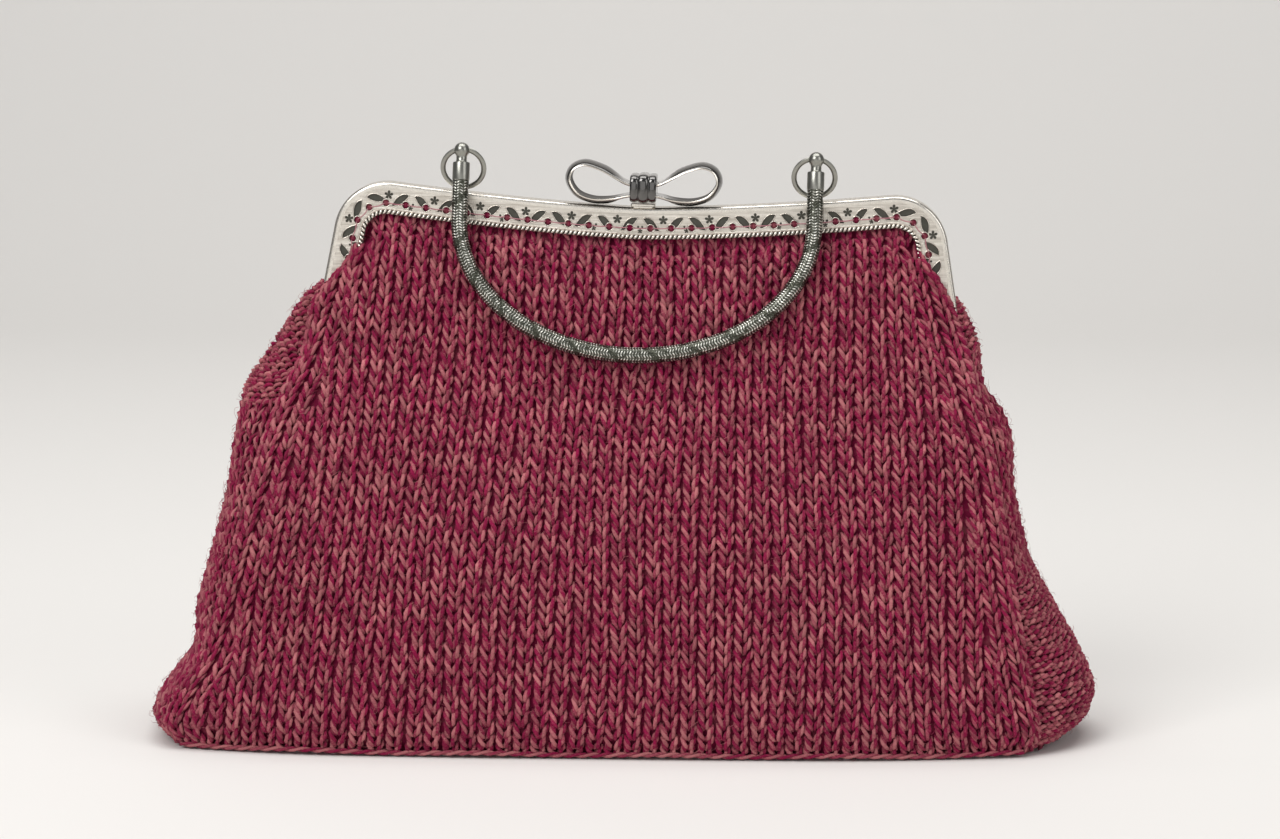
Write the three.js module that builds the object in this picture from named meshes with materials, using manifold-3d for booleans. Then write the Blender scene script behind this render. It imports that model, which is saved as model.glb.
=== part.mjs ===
// Knitted pochette on a kiss-lock frame: five knitted walls sewn to two pierced metal half frames,
// a bow for a clasp, and an arched handle that hangs from two rings.
// Millimetres, +Z up, the front faces -Y, and the origin is under the middle of the base.
import * as THREE from 'three';
import { mergeVertices } from 'three/addons/utils/BufferGeometryUtils.js';
import Module from 'manifold-3d';

const wasm = await Module();
wasm.setup();
const { clamp, degToRad, lerp, smoothstep } = THREE.MathUtils;

// Knit
const WALL = 3.5;
const HEM_WALL = 2.2;
const HEM_TUCK = 5;
const SEAM_GAP = 0.4;
const PANEL_COLUMNS = 16;
const GUSSET_COLUMNS = 10;
const EDGE_ROUNDING = 0.22;
const ROUNDED_BELOW = 150;
const SWELL_POWER = 0.6;
const VALLEY = { at: 0.42, spread: 0.15 };
const ARM_FOLD = { depth: 8.7, across: 0.84, from: 116, to: 140 };

// Frame: the zero of its own heights is the middle of its top edge
const FRAME_CENTRE = { x: 6, z: 171 };
const FRAME_ROLL = degToRad(1.4);
const HALF_DEPTH = 4.6;
const HALF_GAP = 0.15;
const PLATE = 1;
const BAND = 10.2;
const ROPE = { rise: 0.5, width: 1.5, crest: 0.9 };
const EDGE_ROLL = { inset: 1, drop: 0.9 };
const SHOULDER_X = 80;
const SHOULDER_RISE = 5.8;
const SAG_POWER = 1.5;
const SHOULDER_RADIUS = 17;
const ARM_SPLAY = degToRad(10.2);
const ARM_DROP = 31;
const TOP_STEPS = 10;
const SHOULDER_STEPS = 6;
const HINGE_PIN = { radius: 2.2, length: 4, below: 2.5 };

// Pierced band: places are measured along the middle of the band and in from its outer edge
const PATTERN = { midBand: 5, reach: 108, period: 14.8, holePitch: 6.58 };
const HOLE = { radius: 1.2, inset: 6.3 };
const FLOWER = { radius: 1.4, waist: 0.8, petals: 5, inset: 3.7 };
const LEAF = { length: 4.7, fullness: 1.25, hollow: 0.9, inset: 4.6, lean: degToRad(34), spread: 3.1 };
const CUT = { start: 3, depth: 3 };

// Clasp
const BOW_CENTRE = { x: 0.7, y: -0.8 };
const RIBBON = { width: 12, thickness: 0.9, crown: 1.3, flatWithin: 5, crownedFrom: 12, steps: 46 };
const KNOT = { centre: 6.2, depth: 14.8, hollowHeight: 6.4, hollowDepth: 13.1, corner: 2.4 };
const CLASP_PLATE = { width: 7.8, depth: 8.6, height: 0.9, bottom: 0.35 };
const CLASP_STEM = { width: 6.6, depth: 3.4, bottom: -0.4 };

// Rings and handle
const HANDLE_CENTRE_X = -0.9;
const HANDLE_HALF_SPAN = 56.7;
const RING = { radius: 6.55, wire: 0.65, inset: 0.4, lean: degToRad(19), slack: 0.3 };
const STAPLE = { y: -2.4, radius: 1.7, wire: 0.5, axisAbove: 1.5, sunk: 0.5 };
const HANDLE = { radius: 2.6, straight: 22.3, drop: 42, tilt: degToRad(12), start: 10.1, steps: 34 };
const CAP = { ball: 2.5, neck: 1.7, tube: 2.75, neckEnd: 3.9, end: 9.8, edge: 0.4, hole: 1.25 };

// Knit outline by height: the side seams of both panels, how far each gusset swells past its seam, and
// how deep the valley is that each gusset folds into
const SIDES = [
  { height: 0, seamLeft: -142, seamRight: 132, swellLeft: 5, swellRight: 9, valley: 0 },
  { height: 8, seamLeft: -146, seamRight: 135, swellLeft: 8, swellRight: 17, valley: 0 },
  { height: 17, seamLeft: -142.5, seamRight: 133.5, swellLeft: 7, swellRight: 20.5, valley: 0 },
  { height: 29, seamLeft: -135, seamRight: 131, swellLeft: 5.5, swellRight: 18, valley: 0 },
  { height: 44, seamLeft: -130, seamRight: 128.5, swellLeft: 9.5, swellRight: 12, valley: 0 },
  { height: 61, seamLeft: -125, seamRight: 125.5, swellLeft: 9.5, swellRight: 6.5, valley: 0 },
  { height: 80, seamLeft: -120, seamRight: 122.5, swellLeft: 10.5, swellRight: 6, valley: 1.5 },
  { height: 97, seamLeft: -115.5, seamRight: 119.5, swellLeft: 12.5, swellRight: 7, valley: 5 },
  { height: 113, seamLeft: -109.5, seamRight: 115, swellLeft: 14.5, swellRight: 4, valley: 8 },
  { height: 126, seamLeft: -103.5, seamRight: 112, swellLeft: 11, swellRight: 4, valley: 6 },
  { height: 139, seamLeft: -101.5, seamRight: 106.5, swellLeft: 4.5, swellRight: 2.5, valley: 0.5 },
];

// Above the hinges each panel's edge folds over the frame's arms and in to the corners of the mouth
const OVER_ARMS = [
  { height: 148, seamLeft: -95.3, seamRight: 101.2 },
  { height: 156.5, seamLeft: -87.3, seamRight: 94 },
  { height: 162.5, seamLeft: -80.3, seamRight: 86 },
  { height: 165, seamLeft: -77.5, seamRight: 82 },
  { height: 168.4, seamLeft: -72.6, seamRight: 78 },
];
const SEAMS = [...SIDES, ...OVER_ARMS];
const GUSSET_TOP = { left: 142, right: 130 };

// How far each panel stands out from the middle of the bag, by its drop below the frame's inner edge
const MOUTH_DROP = FRAME_CENTRE.z - BAND;
const PROFILE = [
  { drop: -HEM_TUCK, depth: 3.1 },
  { drop: 0.2, depth: 3.1 },
  { drop: 2, depth: 5.3 },
  { drop: 5, depth: 7.8 },
  { drop: 8, depth: 9.4 },
  { drop: 12, depth: 10.6 },
  { drop: 22, depth: 13.3 },
  { drop: 37, depth: 17.3 },
  { drop: 53, depth: 23.5 },
  { drop: 70, depth: 30.3 },
  { drop: 100, depth: 40.5 },
  { drop: 118, depth: 45.2 },
  { drop: 140, depth: 49 },
  { drop: 153, depth: 50 },
  { drop: 158, depth: 48.8 },
  { drop: MOUTH_DROP, depth: 46 },
];

// Drops at which the walls have a row of points
const ROW_DROPS = [MOUTH_DROP, 158, 153, 145, 133, 118, 100, 82, 66, 50, 37, 28, 20, 12, 8, 5, 2, 0.2, -HEM_TUCK];

// Soft hollows in both panels
const DENTS = [
  { x: -119, height: 40, width: 20, tall: 15, depth: 5 },
  { x: 110, height: 66, width: 14, tall: 34, depth: 3 },
  { x: -96, height: 122, width: 9, tall: 14, depth: 2 },
];

// Middle line of one half of the bow's ribbon, from under the knot out to the loop's tip and back
const LOOP = [
  { x: 0, z: 3.9 },
  { x: 4.4, z: 3.8 },
  { x: 10, z: 2.7 },
  { x: 16.4, z: 2.6 },
  { x: 21.2, z: 4.5 },
  { x: 23.6, z: 8.6 },
  { x: 22.5, z: 11.7 },
  { x: 19.2, z: 13.2 },
  { x: 13.9, z: 11.9 },
  { x: 9.8, z: 9.9 },
  { x: 4.7, z: 7.5 },
  { x: 0, z: 7 },
];

// Three ridges of the knot, from side to side
const KNOT_RIDGES = [
  { x: -4.2, halfHeight: 4.05 },
  { x: -3.6, halfHeight: 4.35 },
  { x: -2.5, halfHeight: 4.35 },
  { x: -1.9, halfHeight: 4.05 },
  { x: -1.1, halfHeight: 4.6 },
  { x: 1.1, halfHeight: 4.6 },
  { x: 1.9, halfHeight: 4.05 },
  { x: 2.5, halfHeight: 4.35 },
  { x: 3.6, halfHeight: 4.35 },
  { x: 4.2, halfHeight: 4.05 },
];

const MATERIALS = {
  knit: new THREE.MeshStandardMaterial({ color: 0x99384f, roughness: 0.95, metalness: 0 }),
  satin: new THREE.MeshStandardMaterial({ color: 0xb9b2a8, roughness: 0.38, metalness: 1 }),
  polished: new THREE.MeshStandardMaterial({ color: 0x8d8c8a, roughness: 0.12, metalness: 1 }),
  sleeve: new THREE.MeshStandardMaterial({ color: 0x8f9085, roughness: 0.45, metalness: 1 }),
};

// Value of one column of a table between its rows: a smooth curve that never overshoots them
function valueAt(table, key, column, where) {
  const last = table.length - 1;
  const at = clamp(where, table[0][key], table[last][key]);
  const row = clamp(table.findIndex((entry) => entry[key] >= at) - 1, 0, last - 1);
  const step = (k) => table[k + 1][key] - table[k][key];
  const slope = (k) => (table[k + 1][column] - table[k][column]) / step(k);
  const tangent = (k) => {
    if (k === 0) return slope(0);
    if (k === last) return slope(last - 1);
    const product = slope(k - 1) * slope(k);
    return product > 0 ? (2 * product) / (slope(k - 1) + slope(k)) : 0;
  };
  const t = (at - table[row][key]) / step(row);
  const start = table[row][column] * (1 + 2 * t) * (1 - t) ** 2 + tangent(row) * step(row) * t * (1 - t) ** 2;
  const end = table[row + 1][column] * t * t * (3 - 2 * t) + tangent(row + 1) * step(row) * t * t * (t - 1);
  return start + end;
}

// Closed surface from points and triangles, turned so that its faces point out
function closedSurface(points, triangles) {
  const corner = (index) => points[triangles[index]];
  let volume = 0;
  for (let k = 0; k < triangles.length; k += 3) {
    volume += corner(k).dot(new THREE.Vector3().crossVectors(corner(k + 1), corner(k + 2)));
  }
  const facing = volume > 0 ? triangles : [...triangles].reverse();
  const geometry = new THREE.BufferGeometry().setFromPoints(points);
  geometry.setIndex(facing);
  return geometry;
}

// Wall between two grids of points that have the same rows and columns
function slab(outer, inner) {
  const rows = outer.length;
  const columns = outer[0].length;
  const points = [...outer.flat(), ...inner.flat()];
  const inside = rows * columns;
  const at = (row, column) => row * columns + column;
  const triangles = [];
  const quad = (a, b, c, d) => triangles.push(a, b, c, a, c, d);
  for (let r = 0; r < rows - 1; r++) {
    for (let c = 0; c < columns - 1; c++) {
      const [a, b, d, e] = [at(r, c), at(r, c + 1), at(r + 1, c + 1), at(r + 1, c)];
      quad(a, b, d, e);
      quad(e + inside, d + inside, b + inside, a + inside);
    }
  }
  const rim = [];
  for (let c = 0; c < columns - 1; c++) rim.push(at(0, c));
  for (let r = 0; r < rows - 1; r++) rim.push(at(r, columns - 1));
  for (let c = columns - 1; c > 0; c--) rim.push(at(rows - 1, c));
  for (let r = rows - 1; r > 0; r--) rim.push(at(r, 0));
  rim.forEach((a, k) => {
    const b = rim[(k + 1) % rim.length];
    quad(b, a, a + inside, b + inside);
  });
  return closedSurface(points, triangles);
}

// Solid through sections that all follow one flat outline, capped at its ends or joined into a loop
function loft(sections, outline, loop = false) {
  const count = outline.length;
  const triangles = [];
  const spans = loop ? sections.length : sections.length - 1;
  for (let k = 0; k < spans; k++) {
    const here = k * count;
    const next = ((k + 1) % sections.length) * count;
    for (let i = 0; i < count; i++) {
      const j = (i + 1) % count;
      triangles.push(here + i, here + j, next + j, here + i, next + j, next + i);
    }
  }
  if (!loop) {
    const end = (sections.length - 1) * count;
    const turned = THREE.ShapeUtils.isClockWise(outline);
    for (const [a, first, second] of THREE.ShapeUtils.triangulateShape(outline, [])) {
      const [b, c] = turned ? [second, first] : [first, second];
      triangles.push(a, c, b, end + a, end + b, end + c);
    }
  }
  return closedSurface(sections.flat(), triangles);
}

function toSolid(geometry) {
  const bare = geometry.clone();
  bare.deleteAttribute('normal');
  bare.deleteAttribute('uv');
  const merged = mergeVertices(bare, 1e-4);
  const vertProperties = new Float32Array(merged.attributes.position.array);
  const triVerts = new Uint32Array(merged.index.array);
  return new wasm.Manifold(new wasm.Mesh({ numProp: 3, vertProperties, triVerts }));
}

function fromSolid(solid) {
  const { vertProperties, triVerts } = solid.getMesh();
  const geometry = new THREE.BufferGeometry();
  geometry.setAttribute('position', new THREE.BufferAttribute(vertProperties, 3));
  geometry.setIndex(new THREE.BufferAttribute(triVerts, 1));
  return geometry;
}

// The same solid on the other side of the bag's middle plane
function mirroredFrontToBack(geometry) {
  const mirrored = geometry.clone();
  const place = mirrored.attributes.position;
  for (let k = 0; k < place.count; k++) place.setY(k, -place.getY(k));
  mirrored.setIndex([...mirrored.index.array].reverse());
  return mirrored;
}

function piece(name, geometry, material) {
  geometry.computeVertexNormals();
  const mesh = new THREE.Mesh(geometry, material);
  mesh.name = name;
  return mesh;
}

// Knitted walls
const topRise = (x) => SHOULDER_RISE * Math.abs(x / SHOULDER_X) ** SAG_POWER;
const seamLeft = (height) => valueAt(SEAMS, 'height', 'seamLeft', height);
const seamRight = (height) => valueAt(SEAMS, 'height', 'seamRight', height);

function mouthHeight(x) {
  const along = x - FRAME_CENTRE.x;
  const rise = topRise(clamp(along, -SHOULDER_X, SHOULDER_X));
  return MOUTH_DROP + rise - along * Math.tan(FRAME_ROLL);
}

function dentAt(x, height) {
  const share = (dent) => ((x - dent.x) / dent.width) ** 2 + ((height - dent.height) / dent.tall) ** 2;
  return DENTS.reduce((sum, dent) => sum + dent.depth * Math.exp(-share(dent)), 0);
}

function panelDepth(x, height) {
  const drop = (1 - height / mouthHeight(x)) * MOUTH_DROP;
  const [left, right] = [seamLeft(height), seamRight(height)];
  const across = clamp((2 * x - left - right) / (right - left), -1, 1);
  const rounding = EDGE_ROUNDING * clamp(1 - height / ROUNDED_BELOW, 0, 1) * across ** 4;
  const flat = valueAt(PROFILE, 'drop', 'depth', drop) * (1 - rounding) - dentAt(x, height);
  const fold = smoothstep(Math.abs(across), ARM_FOLD.across, 1) * smoothstep(height, ARM_FOLD.from, ARM_FOLD.to);
  return Math.min(flat, lerp(flat, ARM_FOLD.depth, fold));
}

const shares = (count) => Array.from({ length: count + 1 }, (_, k) => k / count);

// Place on a panel for a drop and a share of the way from its left seam to its right one
function panelPlace(drop, across) {
  const share = 1 - drop / MOUTH_DROP;
  const place = { x: 0, height: share * MOUTH_DROP };
  for (let pass = 0; pass < 4; pass++) {
    place.x = lerp(seamLeft(place.height), seamRight(place.height), across);
    place.height = share * mouthHeight(place.x);
  }
  return place;
}

function panel() {
  const outer = [];
  const inner = [];
  for (const drop of ROW_DROPS) {
    const wall = lerp(HEM_WALL, WALL, smoothstep(drop, 0, 5));
    const outerRow = [];
    const innerRow = [];
    for (const across of shares(PANEL_COLUMNS)) {
      const { x, height } = panelPlace(drop, across);
      const depth = panelDepth(x, height);
      outerRow.push(new THREE.Vector3(x, -depth, height));
      innerRow.push(new THREE.Vector3(x, wall - depth, height));
    }
    outer.push(outerRow);
    inner.push(innerRow);
  }
  return slab(outer, inner);
}

// Outer face of a gusset at one height: side is -1 on the left and 1 on the right, and across runs from the
// front seam at 0 to the back seam at 1
function gussetPoint(side, height, across) {
  const seam = side < 0 ? seamLeft(height) : seamRight(height);
  const swell = valueAt(SIDES, 'height', side < 0 ? 'swellLeft' : 'swellRight', height);
  const valley = valueAt(SIDES, 'height', 'valley', height);
  const bulge = swell * (4 * across * (1 - across)) ** SWELL_POWER;
  const fold = valley * Math.exp(-(((across - VALLEY.at) / VALLEY.spread) ** 2));
  const reach = panelDepth(seam, height) - WALL - SEAM_GAP;
  return new THREE.Vector3(seam + side * (bulge - fold), lerp(-reach, reach, across), height);
}

function gusset(side) {
  const top = side < 0 ? GUSSET_TOP.left : GUSSET_TOP.right;
  const seamHeights = ROW_DROPS.map((drop) => panelPlace(drop, side < 0 ? 0 : 1).height);
  const heights = [...seamHeights.filter((height) => height < top), top];
  const outer = heights.map((height) => shares(GUSSET_COLUMNS).map((across) => gussetPoint(side, height, across)));
  const inward = new THREE.Vector3(-side * WALL, 0, 0);
  const inner = outer.map((row) => row.map((point) => point.clone().add(inward)));
  return slab(outer, inner);
}

// Flat base inside the feet of the walls
function basePanel() {
  const inset = WALL + SEAM_GAP;
  const outline = [];
  for (const side of [1, -1]) {
    for (const share of shares(GUSSET_COLUMNS)) {
      const point = gussetPoint(side, 0, side > 0 ? share : 1 - share);
      outline.push(new THREE.Vector2(point.x - side * inset, point.y));
    }
    const [from, to] = side > 0 ? [seamRight(0), seamLeft(0)] : [seamLeft(0), seamRight(0)];
    for (const share of shares(PANEL_COLUMNS).slice(1, -1)) {
      const x = lerp(from, to, share);
      outline.push(new THREE.Vector2(x, side * (panelDepth(x, 0) - inset)));
    }
  }
  const shape = new THREE.Shape(outline);
  return new THREE.ExtrudeGeometry(shape, { depth: WALL, bevelEnabled: false });
}

// Frame
// Right half of the frame's outer edge, from the middle of the top out and down to the hinge: each stop has
// its place and the direction of the edge
function outerEdge() {
  const stops = [];
  for (let k = 0; k <= TOP_STEPS; k++) {
    const x = (SHOULDER_X * k) / TOP_STEPS;
    const slope = (SAG_POWER * topRise(x)) / Math.max(x, 1e-6);
    stops.push({ x, z: topRise(x), heading: Math.atan(slope) });
  }
  const shoulder = stops[TOP_STEPS];
  const turn = -(Math.PI / 2 - ARM_SPLAY);
  const arcX = shoulder.x + SHOULDER_RADIUS * Math.sin(shoulder.heading);
  const arcZ = shoulder.z - SHOULDER_RADIUS * Math.cos(shoulder.heading);
  for (let k = 1; k <= SHOULDER_STEPS; k++) {
    const heading = lerp(shoulder.heading, turn, k / SHOULDER_STEPS);
    const x = arcX - SHOULDER_RADIUS * Math.sin(heading);
    const z = arcZ + SHOULDER_RADIUS * Math.cos(heading);
    stops.push({ x, z, heading });
  }
  const elbow = stops[stops.length - 1];
  const fall = -ARM_DROP - elbow.z;
  stops.push({ x: elbow.x + fall / Math.tan(turn), z: -ARM_DROP, heading: turn });
  return stops;
}

const RIGHT_EDGE = outerEdge();
const LEFT_EDGE = RIGHT_EDGE.slice(1).map((stop) => ({ x: -stop.x, z: stop.z, heading: -stop.heading }));
const WHOLE_EDGE = [...LEFT_EDGE.reverse(), ...RIGHT_EDGE];

function insetPoint(stop, inset, y) {
  const x = stop.x + inset * Math.sin(stop.heading);
  const z = stop.z - inset * Math.cos(stop.heading);
  return new THREE.Vector3(x, y, z);
}

// Section of a half frame: rim, rounded edge, flat face, rope edge
function halfSection() {
  const face = HALF_DEPTH;
  const rope = HALF_DEPTH + ROPE.rise;
  const flank = (ROPE.width - ROPE.crest) / 2;
  return [
    [0, HALF_GAP],
    [0, face - EDGE_ROLL.drop],
    [0.3 * EDGE_ROLL.inset, face - 0.3 * EDGE_ROLL.drop],
    [EDGE_ROLL.inset, face],
    [BAND - ROPE.width, face],
    [BAND - ROPE.width + flank, rope],
    [BAND - flank, rope],
    [BAND, face],
    [BAND, face - PLATE],
    [PLATE, face - PLATE],
    [PLATE, HALF_GAP],
  ].map(([inset, depth]) => new THREE.Vector2(inset, depth));
}

// Place on the band for a distance along its middle, counted from the middle of the top
function placeOnBand(along) {
  const middle = RIGHT_EDGE.map((stop) => insetPoint(stop, PATTERN.midBand, 0));
  let travelled = 0;
  for (let k = 1; k < middle.length; k++) {
    const length = middle[k].distanceTo(middle[k - 1]);
    if (travelled + length >= Math.abs(along) || k === middle.length - 1) {
      const share = (Math.abs(along) - travelled) / length;
      const [from, to] = [RIGHT_EDGE[k - 1], RIGHT_EDGE[k]];
      const mirror = Math.sign(along) || 1;
      return {
        x: mirror * lerp(from.x, to.x, share),
        z: lerp(from.z, to.z, share),
        heading: mirror * lerp(from.heading, to.heading, share),
      };
    }
    travelled += length;
  }
  return RIGHT_EDGE[RIGHT_EDGE.length - 1];
}

function leafShape() {
  const half = LEAF.length / 2;
  const leaf = new THREE.Shape();
  leaf.moveTo(-half, 0);
  leaf.quadraticCurveTo(0, 2 * LEAF.fullness, half, 0);
  leaf.quadraticCurveTo(0, -2 * LEAF.hollow, -half, 0);
  return leaf;
}

function flowerShape() {
  const points = [];
  for (let k = 0; k < 2 * FLOWER.petals; k++) {
    const angle = Math.PI / 2 + (Math.PI * k) / FLOWER.petals;
    const radius = k % 2 === 0 ? FLOWER.radius : FLOWER.waist;
    points.push(new THREE.Vector2(radius * Math.cos(angle), radius * Math.sin(angle)));
  }
  return new THREE.Shape(points);
}

function holeShape() {
  return new THREE.Shape().absarc(0, 0, HOLE.radius, 0, 2 * Math.PI, false);
}

// One cutter through the band's face, turned to lie along it
function cutter(shape, along, inset, lean) {
  const geometry = new THREE.ExtrudeGeometry(shape, { depth: CUT.depth, bevelEnabled: false, curveSegments: 4 });
  const stop = placeOnBand(along);
  const place = insetPoint(stop, inset, -CUT.start);
  geometry.rotateZ(lean + stop.heading);
  geometry.rotateX(Math.PI / 2);
  geometry.translate(place.x, place.y, place.z);
  return toSolid(geometry);
}

// Repeats of the vine: a flower, then a leaf leaning each way over the gap between two flowers
function piercings() {
  const cutters = [];
  const repeats = Math.floor(PATTERN.reach / PATTERN.period);
  for (let k = -repeats; k <= repeats; k++) {
    const centre = k * PATTERN.period;
    cutters.push(cutter(leafShape(), centre - LEAF.spread, LEAF.inset, LEAF.lean));
    cutters.push(cutter(leafShape(), centre + LEAF.spread, LEAF.inset, -LEAF.lean));
    if (k < repeats) cutters.push(cutter(flowerShape(), centre + PATTERN.period / 2, FLOWER.inset, 0));
  }
  const holes = Math.floor(PATTERN.reach / PATTERN.holePitch);
  for (let k = -holes; k < holes; k++) {
    cutters.push(cutter(holeShape(), (k + 0.5) * PATTERN.holePitch, HOLE.inset, 0));
  }
  return cutters.reduce((all, one) => all.add(one));
}

function halfFrame() {
  const outline = halfSection();
  const sections = WHOLE_EDGE.map((stop) => outline.map(({ x, y }) => insetPoint(stop, x, -y)));
  return toSolid(loft(sections, outline)).subtract(piercings());
}

const ringX = [
  HANDLE_CENTRE_X - HANDLE_HALF_SPAN + RING.inset,
  HANDLE_CENTRE_X + HANDLE_HALF_SPAN - RING.inset,
];
const ringAxisZ = topRise(HANDLE_HALF_SPAN) + STAPLE.axisAbove;

// Wire staple that holds a ring on the front half's rim
function staple(x) {
  const foot = topRise(x) - STAPLE.sunk;
  const points = [new THREE.Vector3(x, STAPLE.y - STAPLE.radius, foot)];
  for (let k = 0; k <= 4; k++) {
    const angle = Math.PI * (1 - k / 4);
    const y = STAPLE.y + STAPLE.radius * Math.cos(angle);
    points.push(new THREE.Vector3(x, y, ringAxisZ + STAPLE.radius * Math.sin(angle)));
  }
  points.push(new THREE.Vector3(x, STAPLE.y + STAPLE.radius, foot));
  const wire = new THREE.Shape().absarc(0, 0, STAPLE.wire, 0, 2 * Math.PI, false);
  const path = new THREE.CatmullRomCurve3(points);
  return new THREE.ExtrudeGeometry(wire, { steps: 12, extrudePath: path, curveSegments: 3 });
}

// Base plate of the clasp on its stem
function claspBase() {
  const { width, depth, height, bottom } = CLASP_PLATE;
  const plate = new THREE.BoxGeometry(width, depth, height);
  plate.translate(BOW_CENTRE.x, 0, bottom + height / 2);
  const stemHeight = bottom + height / 2 - CLASP_STEM.bottom;
  const stem = new THREE.BoxGeometry(CLASP_STEM.width, CLASP_STEM.depth, stemHeight);
  stem.translate(BOW_CENTRE.x, -HALF_DEPTH / 2, CLASP_STEM.bottom + stemHeight / 2);
  return toSolid(plate).add(toSolid(stem));
}

function frontFrame(half) {
  const stapled = ringX.reduce((solid, x) => solid.add(toSolid(staple(x))), half);
  return fromSolid(stapled.add(claspBase()));
}

function hingePin(side) {
  const pin = new THREE.CylinderGeometry(HINGE_PIN.radius, HINGE_PIN.radius, HINGE_PIN.length, 10);
  const foot = RIGHT_EDGE[RIGHT_EDGE.length - 1];
  pin.rotateZ(Math.PI / 2);
  pin.translate(side * (foot.x - HINGE_PIN.length / 2), 0, foot.z - HINGE_PIN.below);
  return pin;
}

// Clasp
// One bent band: under the knot, round both loops and back through the knot's upper part
function bowRibbon() {
  const back = LOOP.slice(1, -1).reverse().map(({ x, z }) => ({ x: -x, z }));
  const points = [...LOOP, ...back].map(({ x, z }) => new THREE.Vector3(x, 0, z));
  const path = new THREE.CatmullRomCurve3(points, true, 'centripetal');
  const across = [-0.5, -0.17, 0.17, 0.5];
  const half = RIBBON.thickness / 2;
  const outline = [
    ...across.map((share) => new THREE.Vector2(share, half)),
    ...[...across].reverse().map((share) => new THREE.Vector2(share, -half)),
  ];
  const sections = [];
  for (let k = 0; k < RIBBON.steps; k++) {
    const place = path.getPointAt(k / RIBBON.steps);
    const along = path.getTangentAt(k / RIBBON.steps);
    const out = new THREE.Vector3(along.z, 0, -along.x);
    const crown = RIBBON.crown * smoothstep(Math.abs(place.x), RIBBON.flatWithin, RIBBON.crownedFrom);
    sections.push(outline.map(({ x: share, y: off }) => {
      const lift = off + crown * (1 - 4 * share * share);
      return new THREE.Vector3(place.x, share * RIBBON.width, place.z).addScaledVector(out, lift);
    }));
  }
  return loft(sections, outline, true);
}

// Ribbed sleeve round both strands of the ribbon
function bowKnot() {
  const roundedOutline = (halfHeight) => {
    const [y, z] = [KNOT.depth / 2 - KNOT.corner, halfHeight - KNOT.corner];
    const shape = new THREE.Shape();
    shape.absarc(y, z, KNOT.corner, 0, Math.PI / 2, false);
    shape.absarc(-y, z, KNOT.corner, Math.PI / 2, Math.PI, false);
    shape.absarc(-y, -z, KNOT.corner, Math.PI, 1.5 * Math.PI, false);
    shape.absarc(y, -z, KNOT.corner, 1.5 * Math.PI, 2 * Math.PI, false);
    return shape.getPoints(2).slice(0, -1);
  };
  const sections = KNOT_RIDGES.map(({ x, halfHeight }) =>
    roundedOutline(halfHeight).map((point) => new THREE.Vector3(x, point.x, point.y)));
  const body = loft(sections, roundedOutline(KNOT_RIDGES[0].halfHeight));
  const hollow = new THREE.BoxGeometry(4 * KNOT.depth, KNOT.hollowDepth, KNOT.hollowHeight);
  return fromSolid(toSolid(body).subtract(toSolid(hollow)));
}

// Handle
class HandleArch extends THREE.Curve {
  // Two straight legs and half an ellipse, given by equal shares of the way along each
  getPoint(t) {
    const legs = HANDLE.straight - HANDLE.start;
    const arch = (Math.PI * (HANDLE_HALF_SPAN + HANDLE.drop)) / 2;
    const along = t * (2 * legs + arch);
    if (along < legs) return new THREE.Vector3(-HANDLE_HALF_SPAN, 0, -HANDLE.start - along);
    if (along > legs + arch) {
      return new THREE.Vector3(HANDLE_HALF_SPAN, 0, -HANDLE.straight + (along - legs - arch));
    }
    const angle = Math.PI * (1 + (along - legs) / arch);
    const x = HANDLE_HALF_SPAN * Math.cos(angle);
    const z = HANDLE.drop * Math.sin(angle) - HANDLE.straight;
    return new THREE.Vector3(x, 0, z);
  }
}

function handleBar() {
  const round = new THREE.Shape().absarc(0, 0, HANDLE.radius, 0, 2 * Math.PI, false);
  const path = new HandleArch();
  return new THREE.ExtrudeGeometry(round, { steps: HANDLE.steps, extrudePath: path, curveSegments: 5 });
}

// Ball tip, neck and tube in one turned piece, drilled for the ring
function endCap() {
  const profile = [];
  const ballEnd = Math.PI - Math.asin(CAP.neck / CAP.ball);
  for (let k = 0; k <= 6; k++) {
    const angle = (ballEnd * k) / 6;
    profile.push(new THREE.Vector2(CAP.ball * Math.sin(angle), CAP.ball * Math.cos(angle)));
  }
  profile.push(new THREE.Vector2(CAP.neck, -CAP.neckEnd + CAP.edge));
  profile.push(new THREE.Vector2(CAP.tube - CAP.edge, -CAP.neckEnd));
  profile.push(new THREE.Vector2(CAP.tube, -CAP.neckEnd - CAP.edge));
  profile.push(new THREE.Vector2(CAP.tube, -CAP.end));
  profile.push(new THREE.Vector2(0, -CAP.end));
  const turned = new THREE.LatheGeometry(profile.reverse(), 12);
  turned.rotateX(Math.PI / 2);
  const drill = new THREE.CylinderGeometry(CAP.hole, CAP.hole, 4 * CAP.ball, 10);
  drill.rotateZ(Math.PI / 2);
  return fromSolid(toSolid(turned).subtract(toSolid(drill)));
}

// Assembly
const pochette = new THREE.Group();
const panelShape = panel();
pochette.add(piece('front_panel', panelShape, MATERIALS.knit));
pochette.add(piece('back_panel', mirroredFrontToBack(panelShape), MATERIALS.knit));
pochette.add(piece('gusset_left', gusset(-1), MATERIALS.knit));
pochette.add(piece('gusset_right', gusset(1), MATERIALS.knit));
pochette.add(piece('base_panel', basePanel(), MATERIALS.knit));

const frame = new THREE.Group();
frame.position.set(FRAME_CENTRE.x, 0, FRAME_CENTRE.z);
frame.rotation.y = FRAME_ROLL;
pochette.add(frame);
const half = halfFrame();
frame.add(piece('front_frame', frontFrame(half), MATERIALS.satin));
frame.add(piece('back_frame', mirroredFrontToBack(fromSolid(half)), MATERIALS.satin));
frame.add(piece('hinge_pin_left', hingePin(-1), MATERIALS.satin));
frame.add(piece('hinge_pin_right', hingePin(1), MATERIALS.satin));

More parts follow.
